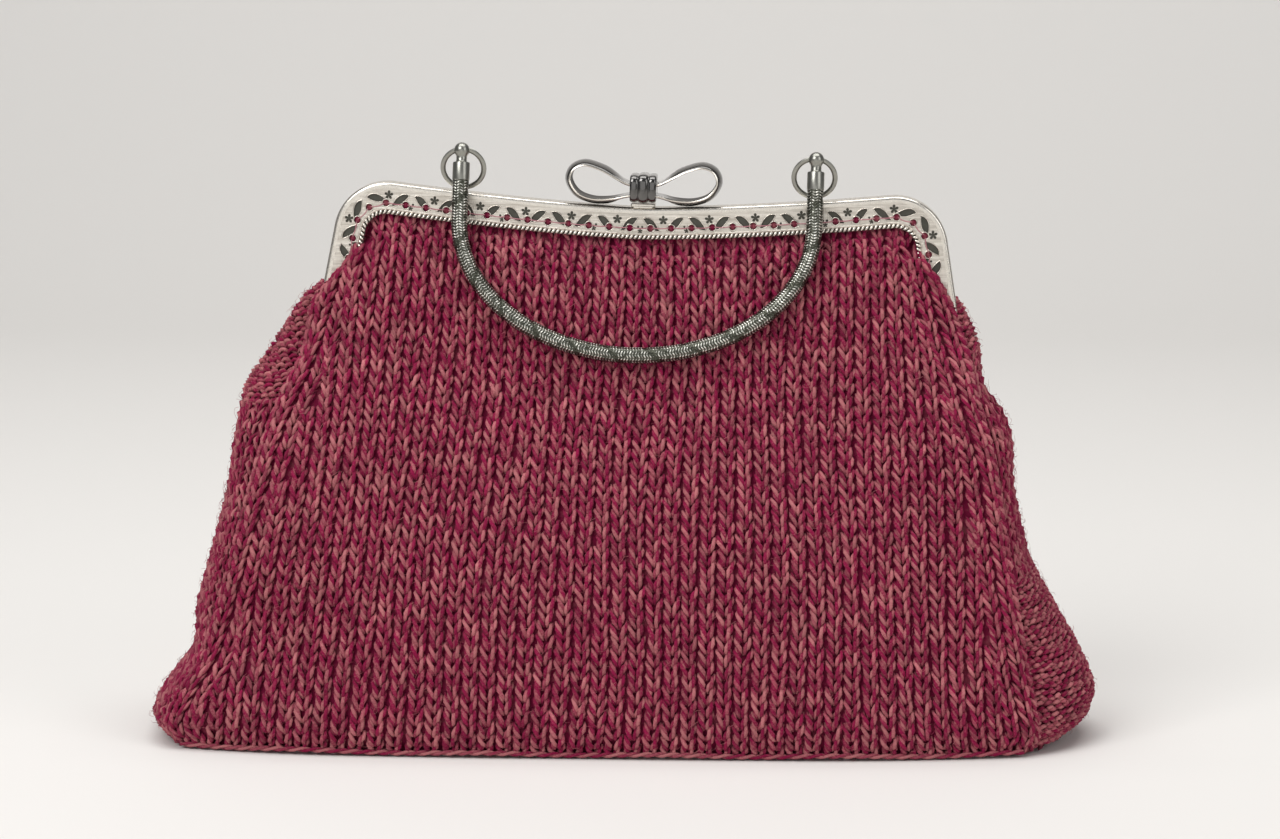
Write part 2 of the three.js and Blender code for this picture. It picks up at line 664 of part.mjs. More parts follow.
const bow = new THREE.Group();
bow.position.set(BOW_CENTRE.x, BOW_CENTRE.y, 0);
frame.add(bow);
bow.add(piece('bow_ribbon', bowRibbon(), MATERIALS.polished));
const knot = piece('bow_knot', bowKnot(), MATERIALS.polished);
knot.position.z = KNOT.centre;
bow.add(knot);

const rings = new THREE.Group();
rings.position.set(0, STAPLE.y, ringAxisZ);
rings.rotation.x = RING.lean;
frame.add(rings);
['ring_left', 'ring_right'].forEach((name, k) => {
  const torus = new THREE.TorusGeometry(RING.radius, RING.wire, 6, 16);
  torus.rotateX(Math.PI / 2);
  const ring = piece(name, torus, MATERIALS.satin);
  ring.position.set(ringX[k], 0, RING.radius);
  rings.add(ring);
});

const hang = 2 * RING.radius - RING.slack;
const handle = new THREE.Group();
handle.position.set(
  HANDLE_CENTRE_X,
  STAPLE.y - hang * Math.sin(RING.lean),
  ringAxisZ + hang * Math.cos(RING.lean),
);
handle.rotation.x = -HANDLE.tilt;
frame.add(handle);
handle.add(piece('handle_bar', handleBar(), MATERIALS.sleeve));
['end_cap_left', 'end_cap_right'].forEach((name, k) => {
  const cap = piece(name, endCap(), MATERIALS.sleeve);
  cap.position.x = (2 * k - 1) * HANDLE_HALF_SPAN;
  handle.add(cap);
});

export default pochette;
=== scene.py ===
# %% [markdown]
# A knitted pochette on a kiss-lock frame
#
# The bag is stocking stitch in a thick two-ply marl yarn, sewn to a pierced silver frame. A bow is its clasp,
# and a braided handle swings on two rings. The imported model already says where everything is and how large.
# So this lesson builds each piece again on its numbers, and adds what the eye looks for: real stitches,
# a pierced vine, a milled edge, the braid of the handle and the finish of each metal.

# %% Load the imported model
import math

import bmesh
import bpy
import numpy as np
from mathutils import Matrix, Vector


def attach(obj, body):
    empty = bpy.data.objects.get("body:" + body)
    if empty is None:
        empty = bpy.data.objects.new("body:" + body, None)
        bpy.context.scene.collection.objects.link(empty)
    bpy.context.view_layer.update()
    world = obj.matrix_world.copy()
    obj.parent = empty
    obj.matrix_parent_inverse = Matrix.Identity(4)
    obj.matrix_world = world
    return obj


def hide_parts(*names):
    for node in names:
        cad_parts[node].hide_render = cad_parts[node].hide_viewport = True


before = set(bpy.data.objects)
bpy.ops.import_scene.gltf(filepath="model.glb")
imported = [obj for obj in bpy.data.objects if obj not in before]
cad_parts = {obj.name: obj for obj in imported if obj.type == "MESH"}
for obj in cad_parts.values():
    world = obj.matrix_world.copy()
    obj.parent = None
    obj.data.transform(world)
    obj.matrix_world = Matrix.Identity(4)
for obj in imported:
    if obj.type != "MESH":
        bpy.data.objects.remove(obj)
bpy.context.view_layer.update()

print("nodes:", len(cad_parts))

# %% [markdown]
# Millimetres in, metres out
#
# A purse is easiest to describe in millimetres, and Blender works in metres. Every new piece goes through one
# function that makes its mesh, scales it once, shades it smooth and fixes it to a body of the model. Numbers
# that a material needs at each point, such as the tone of a strand of yarn, travel as mesh attributes.

# %% Make a piece
MM = 0.001
SHARP_ANGLE = math.radians(32)
made = {}


def make_piece(name, points, faces, material, body, slot, replaces=(), attributes=None):
    """A smooth piece from points in millimetres, which rides on one body and stands for some CAD nodes."""
    mesh = bpy.data.meshes.new(name)
    mesh.from_pydata((np.asarray(points, float) * MM).tolist(), [], faces, shade_flat=False)
    for key, values in (attributes or {}).items():
        values = np.asarray(values, np.float32)
        kind, field = ("FLOAT_VECTOR", "vector") if values.ndim == 2 else ("FLOAT", "value")
        mesh.attributes.new(key, kind, "POINT").data.foreach_set(field, values.ravel())
    mesh.materials.append(material)
    piece = bpy.data.objects.new(name, mesh)
    bpy.context.scene.collection.objects.link(piece)
    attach(piece, body)
    if replaces:
        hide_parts(*replaces)
    made[name] = sum(len(face) - 2 for face in faces)
    return piece


def tidy_solid(piece):
    """Turns the faces of a closed solid outward, and keeps its creases crisp."""
    shape = bmesh.new()
    shape.from_mesh(piece.data)
    bmesh.ops.recalc_face_normals(shape, faces=shape.faces)
    shape.to_mesh(piece.data)
    shape.free()
    piece.data.set_sharp_from_angle(angle=SHARP_ANGLE)
    return piece


def make_solid(*description):
    """A piece that is a closed solid with crisp creases, described as for make_piece."""
    return tidy_solid(make_piece(*description))


# %% [markdown]
# The camera
#
# The photograph looks at the front from a little above and a little to the right, through a long lens, so
# upright lines stay upright. The camera aims at a point near the middle of the bag from 1.2 m away.

# %% Camera at the photograph's angle
CAMERA_TURN = math.radians(2.66)
CAMERA_RISE = math.radians(8.0)
CAMERA_DISTANCE = 1.2
CAMERA_AIM = Vector((0.0056, 0.0, 0.1018))
CAMERA_LENS = 104.0

toward_camera = Vector((
    math.sin(CAMERA_TURN) * math.cos(CAMERA_RISE),
    -math.cos(CAMERA_TURN) * math.cos(CAMERA_RISE),
    math.sin(CAMERA_RISE),
))
camera_data = bpy.data.cameras.new("camera")
camera_data.lens = CAMERA_LENS
camera_data.sensor_fit = "HORIZONTAL"
camera_data.sensor_width = 36.0
camera_data.clip_end = 50.0
camera = bpy.data.objects.new("camera", camera_data)
camera.location = CAMERA_AIM + CAMERA_DISTANCE * toward_camera
camera.rotation_euler = (-toward_camera).to_track_quat("-Z", "Y").to_euler()
bpy.context.scene.collection.objects.link(camera)
bpy.context.scene.camera = camera
print("camera at", [round(value, 3) for value in camera.location])

# %% [markdown]
# Colour and nodes
#
# Colours are read off a screen, so they are sRGB hex values, while Blender's sockets take linear light. One
# function converts them. A second small function adds a node: a setting is a plain value, and an input is
# either a value or another node's output, which it links. The others are steps that several materials share.

# %% Colour and node helpers
def linear(hex_text):
    """An sRGB hex colour, such as 8b2850, as the linear colour that a socket takes."""
    channels = [int(hex_text[k:k + 2], 16) / 255 for k in (0, 2, 4)]
    light = [c / 12.92 if c <= 0.04045 else ((c + 0.055) / 1.055) ** 2.4 for c in channels]
    return (*light, 1.0)


def add_node(tree, kind, inputs=None, **settings):
    """A node with its settings, and with each input set to a value or linked to an output."""
    node = tree.nodes.new(kind)
    for key, value in settings.items():
        setattr(node, key, value)
    for key, value in (inputs or {}).items():
        if isinstance(value, bpy.types.NodeSocket):
            tree.links.new(value, node.inputs[key])
        else:
            node.inputs[key].default_value = value
    return node


def new_material(name):
    """An empty material with the node that its finish goes into."""
    material = bpy.data.materials.new(name)
    material.use_nodes = True
    tree = material.node_tree
    tree.nodes.clear()
    shader = add_node(tree, "ShaderNodeBsdfPrincipled")
    add_node(tree, "ShaderNodeOutputMaterial", {"Surface": shader.outputs["BSDF"]})
    return material, tree, shader


def new_metal(name):
    """An empty material for a metal."""
    material, tree, shader = new_material(name)
    shader.inputs["Metallic"].default_value = 1.0
    return material, tree, shader


def attribute(tree, name):
    """A number that travels with the mesh."""
    return add_node(tree, "ShaderNodeAttribute", attribute_name=name).outputs["Fac"]


def maths(tree, operation, *values, clamp=False):
    """The result of one step of arithmetic."""
    inputs = dict(enumerate(values))
    return add_node(tree, "ShaderNodeMath", inputs, operation=operation, use_clamp=clamp).outputs["Value"]


def grain(tree, size, detail):
    """Noise in a piece's own space, with grains of a size in millimetres."""
    place = add_node(tree, "ShaderNodeTexCoord")
    inputs = {"Vector": place.outputs["Object"], "Scale": 1 / (size * MM), "Detail": detail}
    return add_node(tree, "ShaderNodeTexNoise", inputs).outputs["Fac"]


def two_tone(tree, factor, first, second):
    """A blend of two hex colours."""
    inputs = {"Factor": factor, "A": linear(first), "B": linear(second)}
    return add_node(tree, "ShaderNodeMix", inputs, data_type="RGBA").outputs["Result"]


def stretch_range(tree, value, low, high, to_low=0.0, to_high=1.0):
    """A value mapped from one range to another."""
    inputs = {"Value": value, "From Min": low, "From Max": high, "To Min": to_low, "To Max": to_high}
    return add_node(tree, "ShaderNodeMapRange", inputs).outputs["Result"]


def relief(tree, height, strength, depth):
    """A normal bumped by a height, with a depth in millimetres."""
    inputs = {"Height": height, "Strength": strength, "Distance": depth * MM}
    return add_node(tree, "ShaderNodeBump", inputs).outputs["Normal"]


# %% [markdown]
# Floor and light
#
# A studio sweep is a sheet of paper that runs under the bag and curves up behind it, so there is no horizon.
# Large soft lights do the rest: a key from the upper left, a weaker fill from the right, a strip above that
# draws a bright line along the metal, a low panel in front that the flat silver band mirrors back, and one
# for the backdrop alone. Large lights give the knit soft shadows between its stitches.

# %% Paper sweep
SWEEP_HALF_WIDTH = 3.5
SWEEP_FRONT = -3.0
SWEEP_BEND_START = 1.1
SWEEP_BEND_RADIUS = 0.9
SWEEP_TOP = 3.2
BEND_STEPS = 16

sweep_line = [(SWEEP_FRONT, 0.0)]
for step in range(BEND_STEPS + 1):
    angle = math.pi / 2 * step / BEND_STEPS
    bend_y = SWEEP_BEND_START + SWEEP_BEND_RADIUS * math.sin(angle)
    sweep_line.append((bend_y, SWEEP_BEND_RADIUS * (1 - math.cos(angle))))
sweep_line.append((SWEEP_BEND_START + SWEEP_BEND_RADIUS, SWEEP_TOP))
sweep_points = [(side * SWEEP_HALF_WIDTH, y, z) for y, z in sweep_line for side in (-1, 1)]
sweep_faces = [(2 * k, 2 * k + 1, 2 * k + 3, 2 * k + 2) for k in range(len(sweep_line) - 1)]

# Matte paper: pale and even, and rough enough never to shine
paper, tree, shader = new_material("matte_backdrop_paper")
shader.inputs["Base Color"].default_value = linear("e6e3df")
shader.inputs["Roughness"].default_value = 0.9
sweep_mesh = bpy.data.meshes.new("paper_sweep")
sweep_mesh.from_pydata(sweep_points, [], sweep_faces, shade_flat=False)
sweep_mesh.materials.append(paper)
sweep = bpy.data.objects.new("paper_sweep", sweep_mesh)
bpy.context.scene.collection.objects.link(sweep)
print("paper sweep:", len(sweep_faces), "strips")

# %% Soft lights
LIGHTS = [
    # name, place, aim, width, height, watts
    ("key_light", (-0.75, -1.15, 1.15), (0.0, 0.0, 0.1), 0.9, 0.9, 15.0),
    ("fill_light", (1.25, -1.0, 0.75), (0.0, 0.0, 0.1), 0.9, 1.2, 6.0),
    ("top_light", (0.0, -0.15, 1.35), (0.0, 0.0, 0.1), 1.4, 0.5, 9.0),
    ("front_light", (-0.1, -1.7, 0.32), (0.0, 0.0, 0.16), 1.6, 0.6, 2.4),
    ("backdrop_light", (0.0, 0.5, 1.9), (0.0, 2.0, 0.6), 2.0, 0.6, 16.0),
]
for name, place, aim, width, height, watts in LIGHTS:
    light_data = bpy.data.lights.new(name, "AREA")
    light_data.shape = "RECTANGLE"
    light_data.size = width
    light_data.size_y = height
    light_data.energy = watts
    light = bpy.data.objects.new(name, light_data)
    light.location = place
    light.rotation_euler = (Vector(aim) - Vector(place)).to_track_quat("-Z", "Y").to_euler()
    bpy.context.scene.collection.objects.link(light)

world = bpy.data.worlds.new("studio")
world.use_nodes = True
world.node_tree.nodes["Background"].inputs["Color"].default_value = linear("d9dbde")
world.node_tree.nodes["Background"].inputs["Strength"].default_value = 0.28
bpy.context.scene.world = world
bpy.context.scene.view_settings.view_transform = "Standard"
print("lights:", len(LIGHTS))

# %% [markdown]
# Marl yarn
#
# The yarn is two plies twisted together: one raspberry, one a dusty rose. Up close each ply is a bundle of
# fine fibres that wind along it, and a halo of loose ends makes its edge soft. The mesh says which ply a
# point is on, how light that length of yarn is, and where the point lies along and around the ply. The
# material draws fibres from that, so they follow the yarn. Sheen stands for the halo. Besides the yarn's
# own tone, that lightness carries painted shade on the sheets in the gaps and on the yarn in the frame's
# holes, and a painted highlight on the stray fibres.

# %% Yarn material
STREAK_CONTRAST = 1.8
TONE_CONTRAST = 0.3

# Spun wool: rough, no gloss, with streaks of fibre a third of a millimetre wide
yarn, tree, shader = new_material("spun_wool_marl_yarn")
strand = add_node(tree, "ShaderNodeAttribute", attribute_name="strand")
fibres = add_node(
    tree, "ShaderNodeTexNoise",
    {"Vector": strand.outputs["Vector"], "Scale": 1.0, "Detail": 3.0, "Roughness": 0.6},
)
streaks = maths(tree, "MULTIPLY_ADD", fibres.outputs["Fac"], STREAK_CONTRAST, -STREAK_CONTRAST / 2)
streaked_ply = maths(tree, "ADD", attribute(tree, "ply"), streaks, clamp=True)
lightness = maths(tree, "MULTIPLY_ADD", attribute(tree, "tone"), TONE_CONTRAST, 1.0)
yarn_colour = add_node(
    tree, "ShaderNodeHueSaturation",
    {"Value": lightness, "Color": two_tone(tree, streaked_ply, "7c0a38", "ad696c")},
)
fibre_relief = relief(tree, fibres.outputs["Fac"], strength=0.8, depth=0.3)
tree.links.new(yarn_colour.outputs["Color"], shader.inputs["Base Color"])
tree.links.new(fibre_relief, shader.inputs["Normal"])
shader.inputs["Roughness"].default_value = 0.92
shader.inputs["Specular IOR Level"].default_value = 0.2
shader.inputs["Sheen Weight"].default_value = 0.1
shader.inputs["Sheen Roughness"].default_value = 0.55
shader.inputs["Sheen Tint"].default_value = linear("d98f9a")
print("yarn:", len(tree.nodes), "nodes")

# %% [markdown]
# The shape of the bag
#
# The bag hangs from the frame like a soft sack on a flat base. Tables give its side seams and its swell by
# height, and its depth by the drop below the frame. A curve that never overshoots runs through each table,
# so the walls are smooth. The numbers are close to those of the CAD solids, so the knit lies on the solids.

# %% Tables of the bag
SEAM_ROWS = np.array([
    # height, left seam, right seam
    (0, -142, 132),
    (8, -146, 135),
    (17, -142.5, 133.5),
    (29, -135, 131),
    (44, -130, 128.5),
    (61, -125, 125.5),
    (80, -120, 122.5),
    (97, -115.5, 119.5),
    (113, -109.5, 115),
    (126, -103.5, 112),
    (139, -101.5, 107.5),
    (148, -95.3, 103.0),
    (156.5, -88.2, 97.6),
    (160, -87.2, 97.2),
    (165, -86.6, 97.4),
    (170, -84, 96),
])
GUSSET_ROWS = np.array([
    # height, swell on the left, swell on the right, depth of the valley
    (0, 5, 9, 0),
    (8, 8, 17, 0),
    (17, 7, 20.5, 0),
    (29, 5.5, 18, 0),
    (44, 9.5, 12, 0),
    (61, 9.5, 6.5, 0),
    (80, 10.5, 6, 1.5),
    (97, 14, 8.5, 5),
    (106, 15.6, 7.4, 6.8),
    (113, 16.5, 3.6, 8),
    (119, 15.6, 4, 7.5),
    (126, 13, 5, 6),
    (139, 5.5, 3.5, 0.5),
    (145, 3.6, 2.2, 0.3),
    (149, 1.2, 0.8, 0),
])
FRAME_X = 6.0
FRAME_Z = 171.0
FRAME_ROLL = math.radians(1.4)
BAND = 10.2
HEM_TUCK = 5.0
MOUTH_DROP = FRAME_Z - BAND
PROFILE_ROWS = np.array([
    # drop below the frame, depth from the middle of the bag
    (-HEM_TUCK, 3.1),
    (0.2, 3.1),
    (2, 5.3),
    (5, 7.8),
    (8, 9.4),
    (12, 10.6),
    (22, 13.3),
    (37, 17.3),
    (53, 23.5),
    (70, 30.3),
    (100, 40.5),
    (118, 45.2),
    (140, 49),
    (153, 50),
    (158, 48.8),
    (MOUTH_DROP, 46),
])
DENTS = [
    # x, height, width, tall, depth
    (-119, 40, 20, 15, 5),
    (110, 66, 14, 34, 3),
    (-96, 122, 9, 14, 2),
]
WALL = 3.5
SEAM_GAP = 0.4
EDGE_ROUNDING = 0.22
ROUNDED_BELOW = 150.0
ARM_FOLD = {"depth": 8.7, "across": 0.84, "from": 116.0, "to": 140.0}
SWELL_POWER = 0.6
VALLEY = {"at": 0.42, "spread": 0.15}
GUSSET_TOP = {-1: 148.0, 1: 142.5}
SHOULDER_X = 80.0
SHOULDER_RISE = 5.8
SAG_POWER = 1.5
SHOULDER_RADIUS = 17.0
SHOULDER_SLOPE = math.atan(SAG_POWER * SHOULDER_RISE / SHOULDER_X)
SHOULDER_CENTRE = (
    SHOULDER_X + SHOULDER_RADIUS * math.sin(SHOULDER_SLOPE),
    SHOULDER_RISE - SHOULDER_RADIUS * math.cos(SHOULDER_SLOPE),
)
ARM_SPLAY = math.radians(10.2)
SEAM_TRIES = 4


def curve_through(rows, column):
    """A function through one column of a table that never overshoots its rows."""
    xs = rows[:, 0].astype(float)
    ys = rows[:, column].astype(float)
    steps = np.diff(xs)
    slopes = np.diff(ys) / steps
    product = slopes[:-1] * slopes[1:]
    both = np.where(product > 0, slopes[:-1] + slopes[1:], 1.0)
    inner = np.where(product > 0, 2 * product / both, 0.0)
    tangents = np.concatenate([slopes[:1], inner, slopes[-1:]])

    def at(where):
        x = np.clip(where, xs[0], xs[-1])
        k = np.clip(np.searchsorted(xs, x) - 1, 0, len(steps) - 1)
        t = (x - xs[k]) / steps[k]
        start = ys[k] * (1 + 2 * t) * (1 - t) ** 2 + tangents[k] * steps[k] * t * (1 - t) ** 2
        end = ys[k + 1] * t * t * (3 - 2 * t) + tangents[k + 1] * steps[k] * t * t * (t - 1)
        return start + end

    return at


def smoothstep(value, low, high):
    share = np.clip((value - low) / (high - low), 0, 1)
    return share * share * (3 - 2 * share)


def run_along(points):
    """Distance along a line of points from its start, at each of them."""
    return np.concatenate([[0], np.cumsum(np.linalg.norm(np.diff(points, axis=0), axis=1))])


# %% Walls of the bag
seam_at = {-1: curve_through(SEAM_ROWS, 1), 1: curve_through(SEAM_ROWS, 2)}
swell = {-1: curve_through(GUSSET_ROWS, 1), 1: curve_through(GUSSET_ROWS, 2)}
valley_depth = curve_through(GUSSET_ROWS, 3)
profile_depth = curve_through(PROFILE_ROWS, 1)


def top_rise(along):
    return SHOULDER_RISE * np.abs(along / SHOULDER_X) ** SAG_POWER


def mouth_height(x):
    along = x - FRAME_X
    return MOUTH_DROP + top_rise(np.clip(along, -SHOULDER_X, SHOULDER_X)) - along * math.tan(FRAME_ROLL)


def panel_depth(x, height):
    """How far the front panel's face stands out from the middle of the bag."""
    drop = (1 - height / mouth_height(x)) * MOUTH_DROP
    left, right = seam_at[-1](height), seam_at[1](height)
    across = np.clip((2 * x - left - right) / (right - left), -1, 1)
    rounding = EDGE_ROUNDING * np.clip(1 - height / ROUNDED_BELOW, 0, 1) * across ** 4
    flat = profile_depth(drop) * (1 - rounding)
    for dent_x, dent_height, width, tall, depth in DENTS:
        flat = flat - depth * np.exp(-((x - dent_x) / width) ** 2 - ((height - dent_height) / tall) ** 2)
    near_edge = smoothstep(np.abs(across), ARM_FOLD["across"], 1)
    fold = near_edge * smoothstep(height, ARM_FOLD["from"], ARM_FOLD["to"])
    return np.minimum(flat, flat + (ARM_FOLD["depth"] - flat) * fold)


def seam_x(side, share):
    """Where a side seam is for a share of the way up."""
    height = share * MOUTH_DROP
    for _ in range(SEAM_TRIES):
        x = seam_at[side](height)
        height = share * mouth_height(x)
    return x


def gusset_reach(side, height):
    """How far a gusset runs to the front and to the back from the middle of the bag."""
    return panel_depth(seam_at[side](height), height) - WALL - SEAM_GAP


def gusset_point(side, height, along):
    """Point on a gusset's face, for a distance along it from its middle toward the back."""
    seam = seam_at[side](height)
    across = np.clip(0.5 + along / (2 * gusset_reach(side, height)), 0, 1)
    bulge = swell[side](height) * (4 * across * (1 - across)) ** SWELL_POWER
    fold = valley_depth(height) * np.exp(-((across - VALLEY["at"]) / VALLEY["spread"]) ** 2)
    return np.stack([seam + side * (bulge - fold), along + 0 * seam, height + 0 * seam], -1)


print("front panel stands", round(float(panel_depth(0.0, 8.0)), 1), "mm from the middle, 8 mm up")

# %% [markdown]
# Yarn along a path
#
# A stitch could be a bump map, but at this size each leg of each V is several pixels wide and shades its
# neighbours, so the yarn is real geometry. One function winds two plies round a path that is drawn on flat
# cloth, then lays the cloth on a wall of the bag: across and up follow the wall, and out follows its normal.

# %% Wind two plies round a path on the cloth
PLY_RADIUS = 0.66
PLY_OFFSET = 0.42
PLY_PITCH = 7.0
PLY_CONTRAST = 0.8
FIBRE_ROUND = 1.6
FIBRE_LENGTH = 0.35
FIBRE_START = 90.0
CLOTH_SUNK = 2.0
PROBE = 0.25
# The sheets under the stitches are darkened: painted shade for the deep gaps between them
GAP_SHADE_TONE = -0.9
GROUND_GRAIN = 3.0
FLOOR_CLEARANCE = 0.05


def full_turn(sides):
    """Angles of points at equal distances round a circle."""
    return 2 * math.pi * np.arange(sides) / sides


def wall_frame(surface, across, up):
    """Place, two directions along the cloth and the way out of it, at each point of a wall."""
    place = surface(across, up)
    right = surface(across + PROBE, up) - surface(across - PROBE, up)
    rise = surface(across, up + PROBE) - surface(across, up - PROBE)
    right = right / np.linalg.norm(right, axis=-1, keepdims=True)
    rise = rise / np.linalg.norm(rise, axis=-1, keepdims=True)
    out = np.cross(right, rise)
    out = out / np.linalg.norm(out, axis=-1, keepdims=True)
    return place, right, rise, out


def tube_faces(tubes, rings, sides):
    """Quads of many open tubes, whose points run by tube, then ring, then side."""
    tube, ring, side = np.meshgrid(np.arange(tubes), np.arange(rings - 1), np.arange(sides), indexing="ij")
    here = (tube * rings + ring) * sides
    following = (side + 1) % sides
    quads = np.stack([here + side, here + sides + side, here + sides + following, here + following], -1)
    return quads.reshape(-1, 4)


def wind_yarn(surface, across, up, out, fullness, blend, tone, sides, seed, thin=None, pitch=PLY_PITCH):
    """Two plies round each path: across, up, out, fullness, blend and tone hold one row per path."""
    chance = np.random.default_rng(seed)
    paths, rings = across.shape
    steps = np.stack([np.gradient(across, axis=1), np.gradient(up, axis=1), np.gradient(out, axis=1)], -1)
    length = np.linalg.norm(steps, axis=-1, keepdims=True)
    ahead = steps / length
    beside = np.stack([ahead[..., 1], -ahead[..., 0], np.zeros_like(across)], -1)
    beside = beside / np.linalg.norm(beside, axis=-1, keepdims=True)
    above = np.cross(beside, ahead)
    travelled = np.cumsum(length[..., 0], axis=1)
    turn = chance.uniform(0, 2 * math.pi, (paths, 1)) + 2 * math.pi * travelled / pitch
    place, right, rise, way_out = wall_frame(surface, across, up)
    flat = np.ones_like(across) if thin is None else thin(across, up)
    around = full_turn(sides)
    ring = np.cos(around)[:, None] * beside[:, :, None, :]
    ring = ring + np.sin(around)[:, None] * above[:, :, None, :]
    points, strands, plies = [], [], []
    for ply_number in (0, 1):
        angle = turn + math.pi * ply_number
        core = PLY_OFFSET * (np.cos(angle)[..., None] * beside + np.sin(angle)[..., None] * above)
        offset = fullness[:, :, None, None] * (core[:, :, None, :] + PLY_RADIUS * ring)
        lift = (out[:, :, None] + offset[..., 2] - CLOTH_SUNK) * flat[:, :, None]
        point = place[:, :, None, :] + offset[..., :1] * right[:, :, None, :]
        point = point + offset[..., 1:2] * rise[:, :, None, :] + lift[..., None] * way_out[:, :, None, :]
        points.append(point)
        spin = around[None, None, :] + 2 * angle[:, :, None]
        run = FIBRE_LENGTH * travelled[:, :, None] + chance.uniform(0, FIBRE_START, (paths, 1, 1)) + 0 * spin
        strands.append(np.stack([FIBRE_ROUND * np.cos(spin), FIBRE_ROUND * np.sin(spin), run], -1))
        colour = np.clip(blend + PLY_CONTRAST * (ply_number - 0.5), 0, 1)
        plies.append(np.broadcast_to(colour[:, :, None], point.shape[:3]))
    tones = np.broadcast_to(tone[:, :, None], (paths, rings, sides))
    return {
        "points": np.concatenate([p.reshape(-1, 3) for p in points]),
        "faces": tube_faces(2 * paths, rings, sides),
        "ply": np.concatenate([p.ravel() for p in plies]),
        "tone": np.concatenate([tones.ravel()] * 2),
        "strand": np.concatenate([s.reshape(-1, 3) for s in strands]),
    }


# %% Ground under the stitches, and one knitted piece
def lining(surface, across, up, depth):
    """A plain sheet just under the stitches, which closes the gaps between them, darkened as painted shade.
    """
    place, _, _, out = wall_frame(surface, across, up)
    points = (place - depth * out).reshape(-1, 3)
    rows, columns = across.shape
    row, column = np.meshgrid(np.arange(rows - 1), np.arange(columns - 1), indexing="ij")
    first = row * columns + column
    quads = np.stack([first, first + 1, first + columns + 1, first + columns], -1).reshape(-1, 4)
    return {
        "points": points,
        "faces": quads,
        "ply": np.zeros(len(points)),
        "tone": np.full(len(points), GAP_SHADE_TONE),
        "strand": points / GROUND_GRAIN,
    }


def knit_piece(name, parts, replaces):
    """One knitted piece from several lots of yarn."""
    counts = np.cumsum([0] + [len(part["points"]) for part in parts])
    points = np.concatenate([part["points"] for part in parts])
    points[:, 2] = np.maximum(points[:, 2], FLOOR_CLEARANCE)
    faces = np.concatenate([part["faces"] + start for part, start in zip(parts, counts)])
    attributes = {key: np.concatenate([part[key] for part in parts]) for key in ("ply", "tone", "strand")}
    make_piece(name, points, faces.tolist(), yarn, "bag", "knit", replaces, attributes)
    print(name, made[name], "triangles")


# %% [markdown]
# Stocking stitch
#
# Each stitch shows two legs that lean together into a V, and each V stands in the one below it. The table
# gives one leg from its foot to its head: it comes up from behind, swells out, leans away and dives under the
# next row. A hand never pulls every stitch alike, so each leg's lean and length vary a little, and slow waves
# run through the rows.

# %% Lay stitches on a wall
STITCH_ACROSS = 5.5
STITCH_UP = 4.0
LEG = np.array([
    # share across, share up, out of the cloth in millimetres, fullness
    (0.08, -0.20, -0.65, 0.60),
    (0.11, 0.06, 0.30, 0.92),
    (0.18, 0.38, 0.78, 1.05),
    (0.27, 0.74, 0.70, 1.05),
    (0.34, 1.06, 0.05, 0.92),
    (0.36, 1.32, -0.90, 0.62),
])
LEG_LEAN_SPREAD = 0.14
LEG_STRETCH_SPREAD = 0.05
LEG_TONE_SPREAD = 0.35
LEG_TONE_LIMIT = 1.2
YARN_IN_A_ROW = 37
DYE_WAVES = [
    # length along the yarn, phase
    (7.3, 0),
    (17.9, 1),
    (3.1, 2),
]
DYE = {"middle": 0.28, "by_wave": 0.13, "spread": 0.22}


def lay_stitches(surface, starts, sides, seed, leg=LEG, thin=None):
    """V stitches at the given places on the cloth, two legs each."""
    chance = np.random.default_rng(seed)
    count = len(starts)
    lean = 1 + chance.normal(0, LEG_LEAN_SPREAD, (count, 2, 1))
    stretch = 1 + chance.normal(0, LEG_STRETCH_SPREAD, (count, 2, 1))
    mirror = np.array([-1.0, 1.0])[None, :, None]
    across = starts[:, None, None, 0] + mirror * lean * leg[None, None, :, 0] * STITCH_ACROSS
    up = starts[:, None, None, 1] + stretch * leg[None, None, :, 1] * STITCH_UP
    out = np.broadcast_to(leg[None, None, :, 2], across.shape)
    full = np.broadcast_to(leg[None, None, :, 3], across.shape)
    place_on_yarn = (starts[:, 0] + YARN_IN_A_ROW * np.round(starts[:, 1] / STITCH_UP))[:, None, None]
    run_of_dye = sum(np.sin(place_on_yarn / length + phase) for length, phase in DYE_WAVES)
    blend = DYE["middle"] + DYE["by_wave"] * run_of_dye + chance.normal(0, DYE["spread"], (count, 2, 1))
    blend = np.broadcast_to(np.clip(blend, 0, 1), across.shape)
    tone_of_leg = chance.normal(0, LEG_TONE_SPREAD, (count, 2, 1))
    tone = np.broadcast_to(np.clip(tone_of_leg, -LEG_TONE_LIMIT, LEG_TONE_LIMIT), across.shape)
    paths = [array.reshape(2 * count, -1) for array in (across, up, out, full, blend, tone)]
    return wind_yarn(surface, *paths, sides, seed + 1, thin)


# %% [markdown]
# Front and back panels
#
# Rows are equally far apart along the curved profile, not in height, so stitches keep their size where the
# panel slopes back to the frame. The panel is shaped as a knitter shapes it: three columns follow each side
# seam, and the upright columns between them end there one by one. High up the seam turns in faster than the
# columns lean, so one more column runs along the seam itself. The top rows run thin behind the frame's band.

# %% Rows along the profile
FAN = 0.06
CENTRE_BOTTOM = -1.0
CENTRE_TOP = 4.0
EDGE_ROLL = 3.2
ROLL_REACH = 1.9
ROLL_CREEP = 0.05
CORNER_FROM = {-1: 160.5, 1: 158.0}
CORNER_RELEASE = 3.0
FULLEST_DROP = 153.0
LEAD_TOP = 0.7
LEAD_LEAN = 48.0
WANDER = {"reach": 0.9, "up": 9.0, "lean": 31.0, "across": 17.0, "phase": 1.3}
HEM_THIN = 0.5
HEM_PRESSED = (-1, 4)
PROFILE_STOPS = 400

drops = np.linspace(MOUTH_DROP, -HEM_TUCK, PROFILE_STOPS)
profile_steps = np.hypot(np.diff(drops), np.diff(profile_depth(drops)))
profile_run = np.concatenate([[0], np.cumsum(profile_steps)])
PANEL_RUN = float(profile_run[-1])


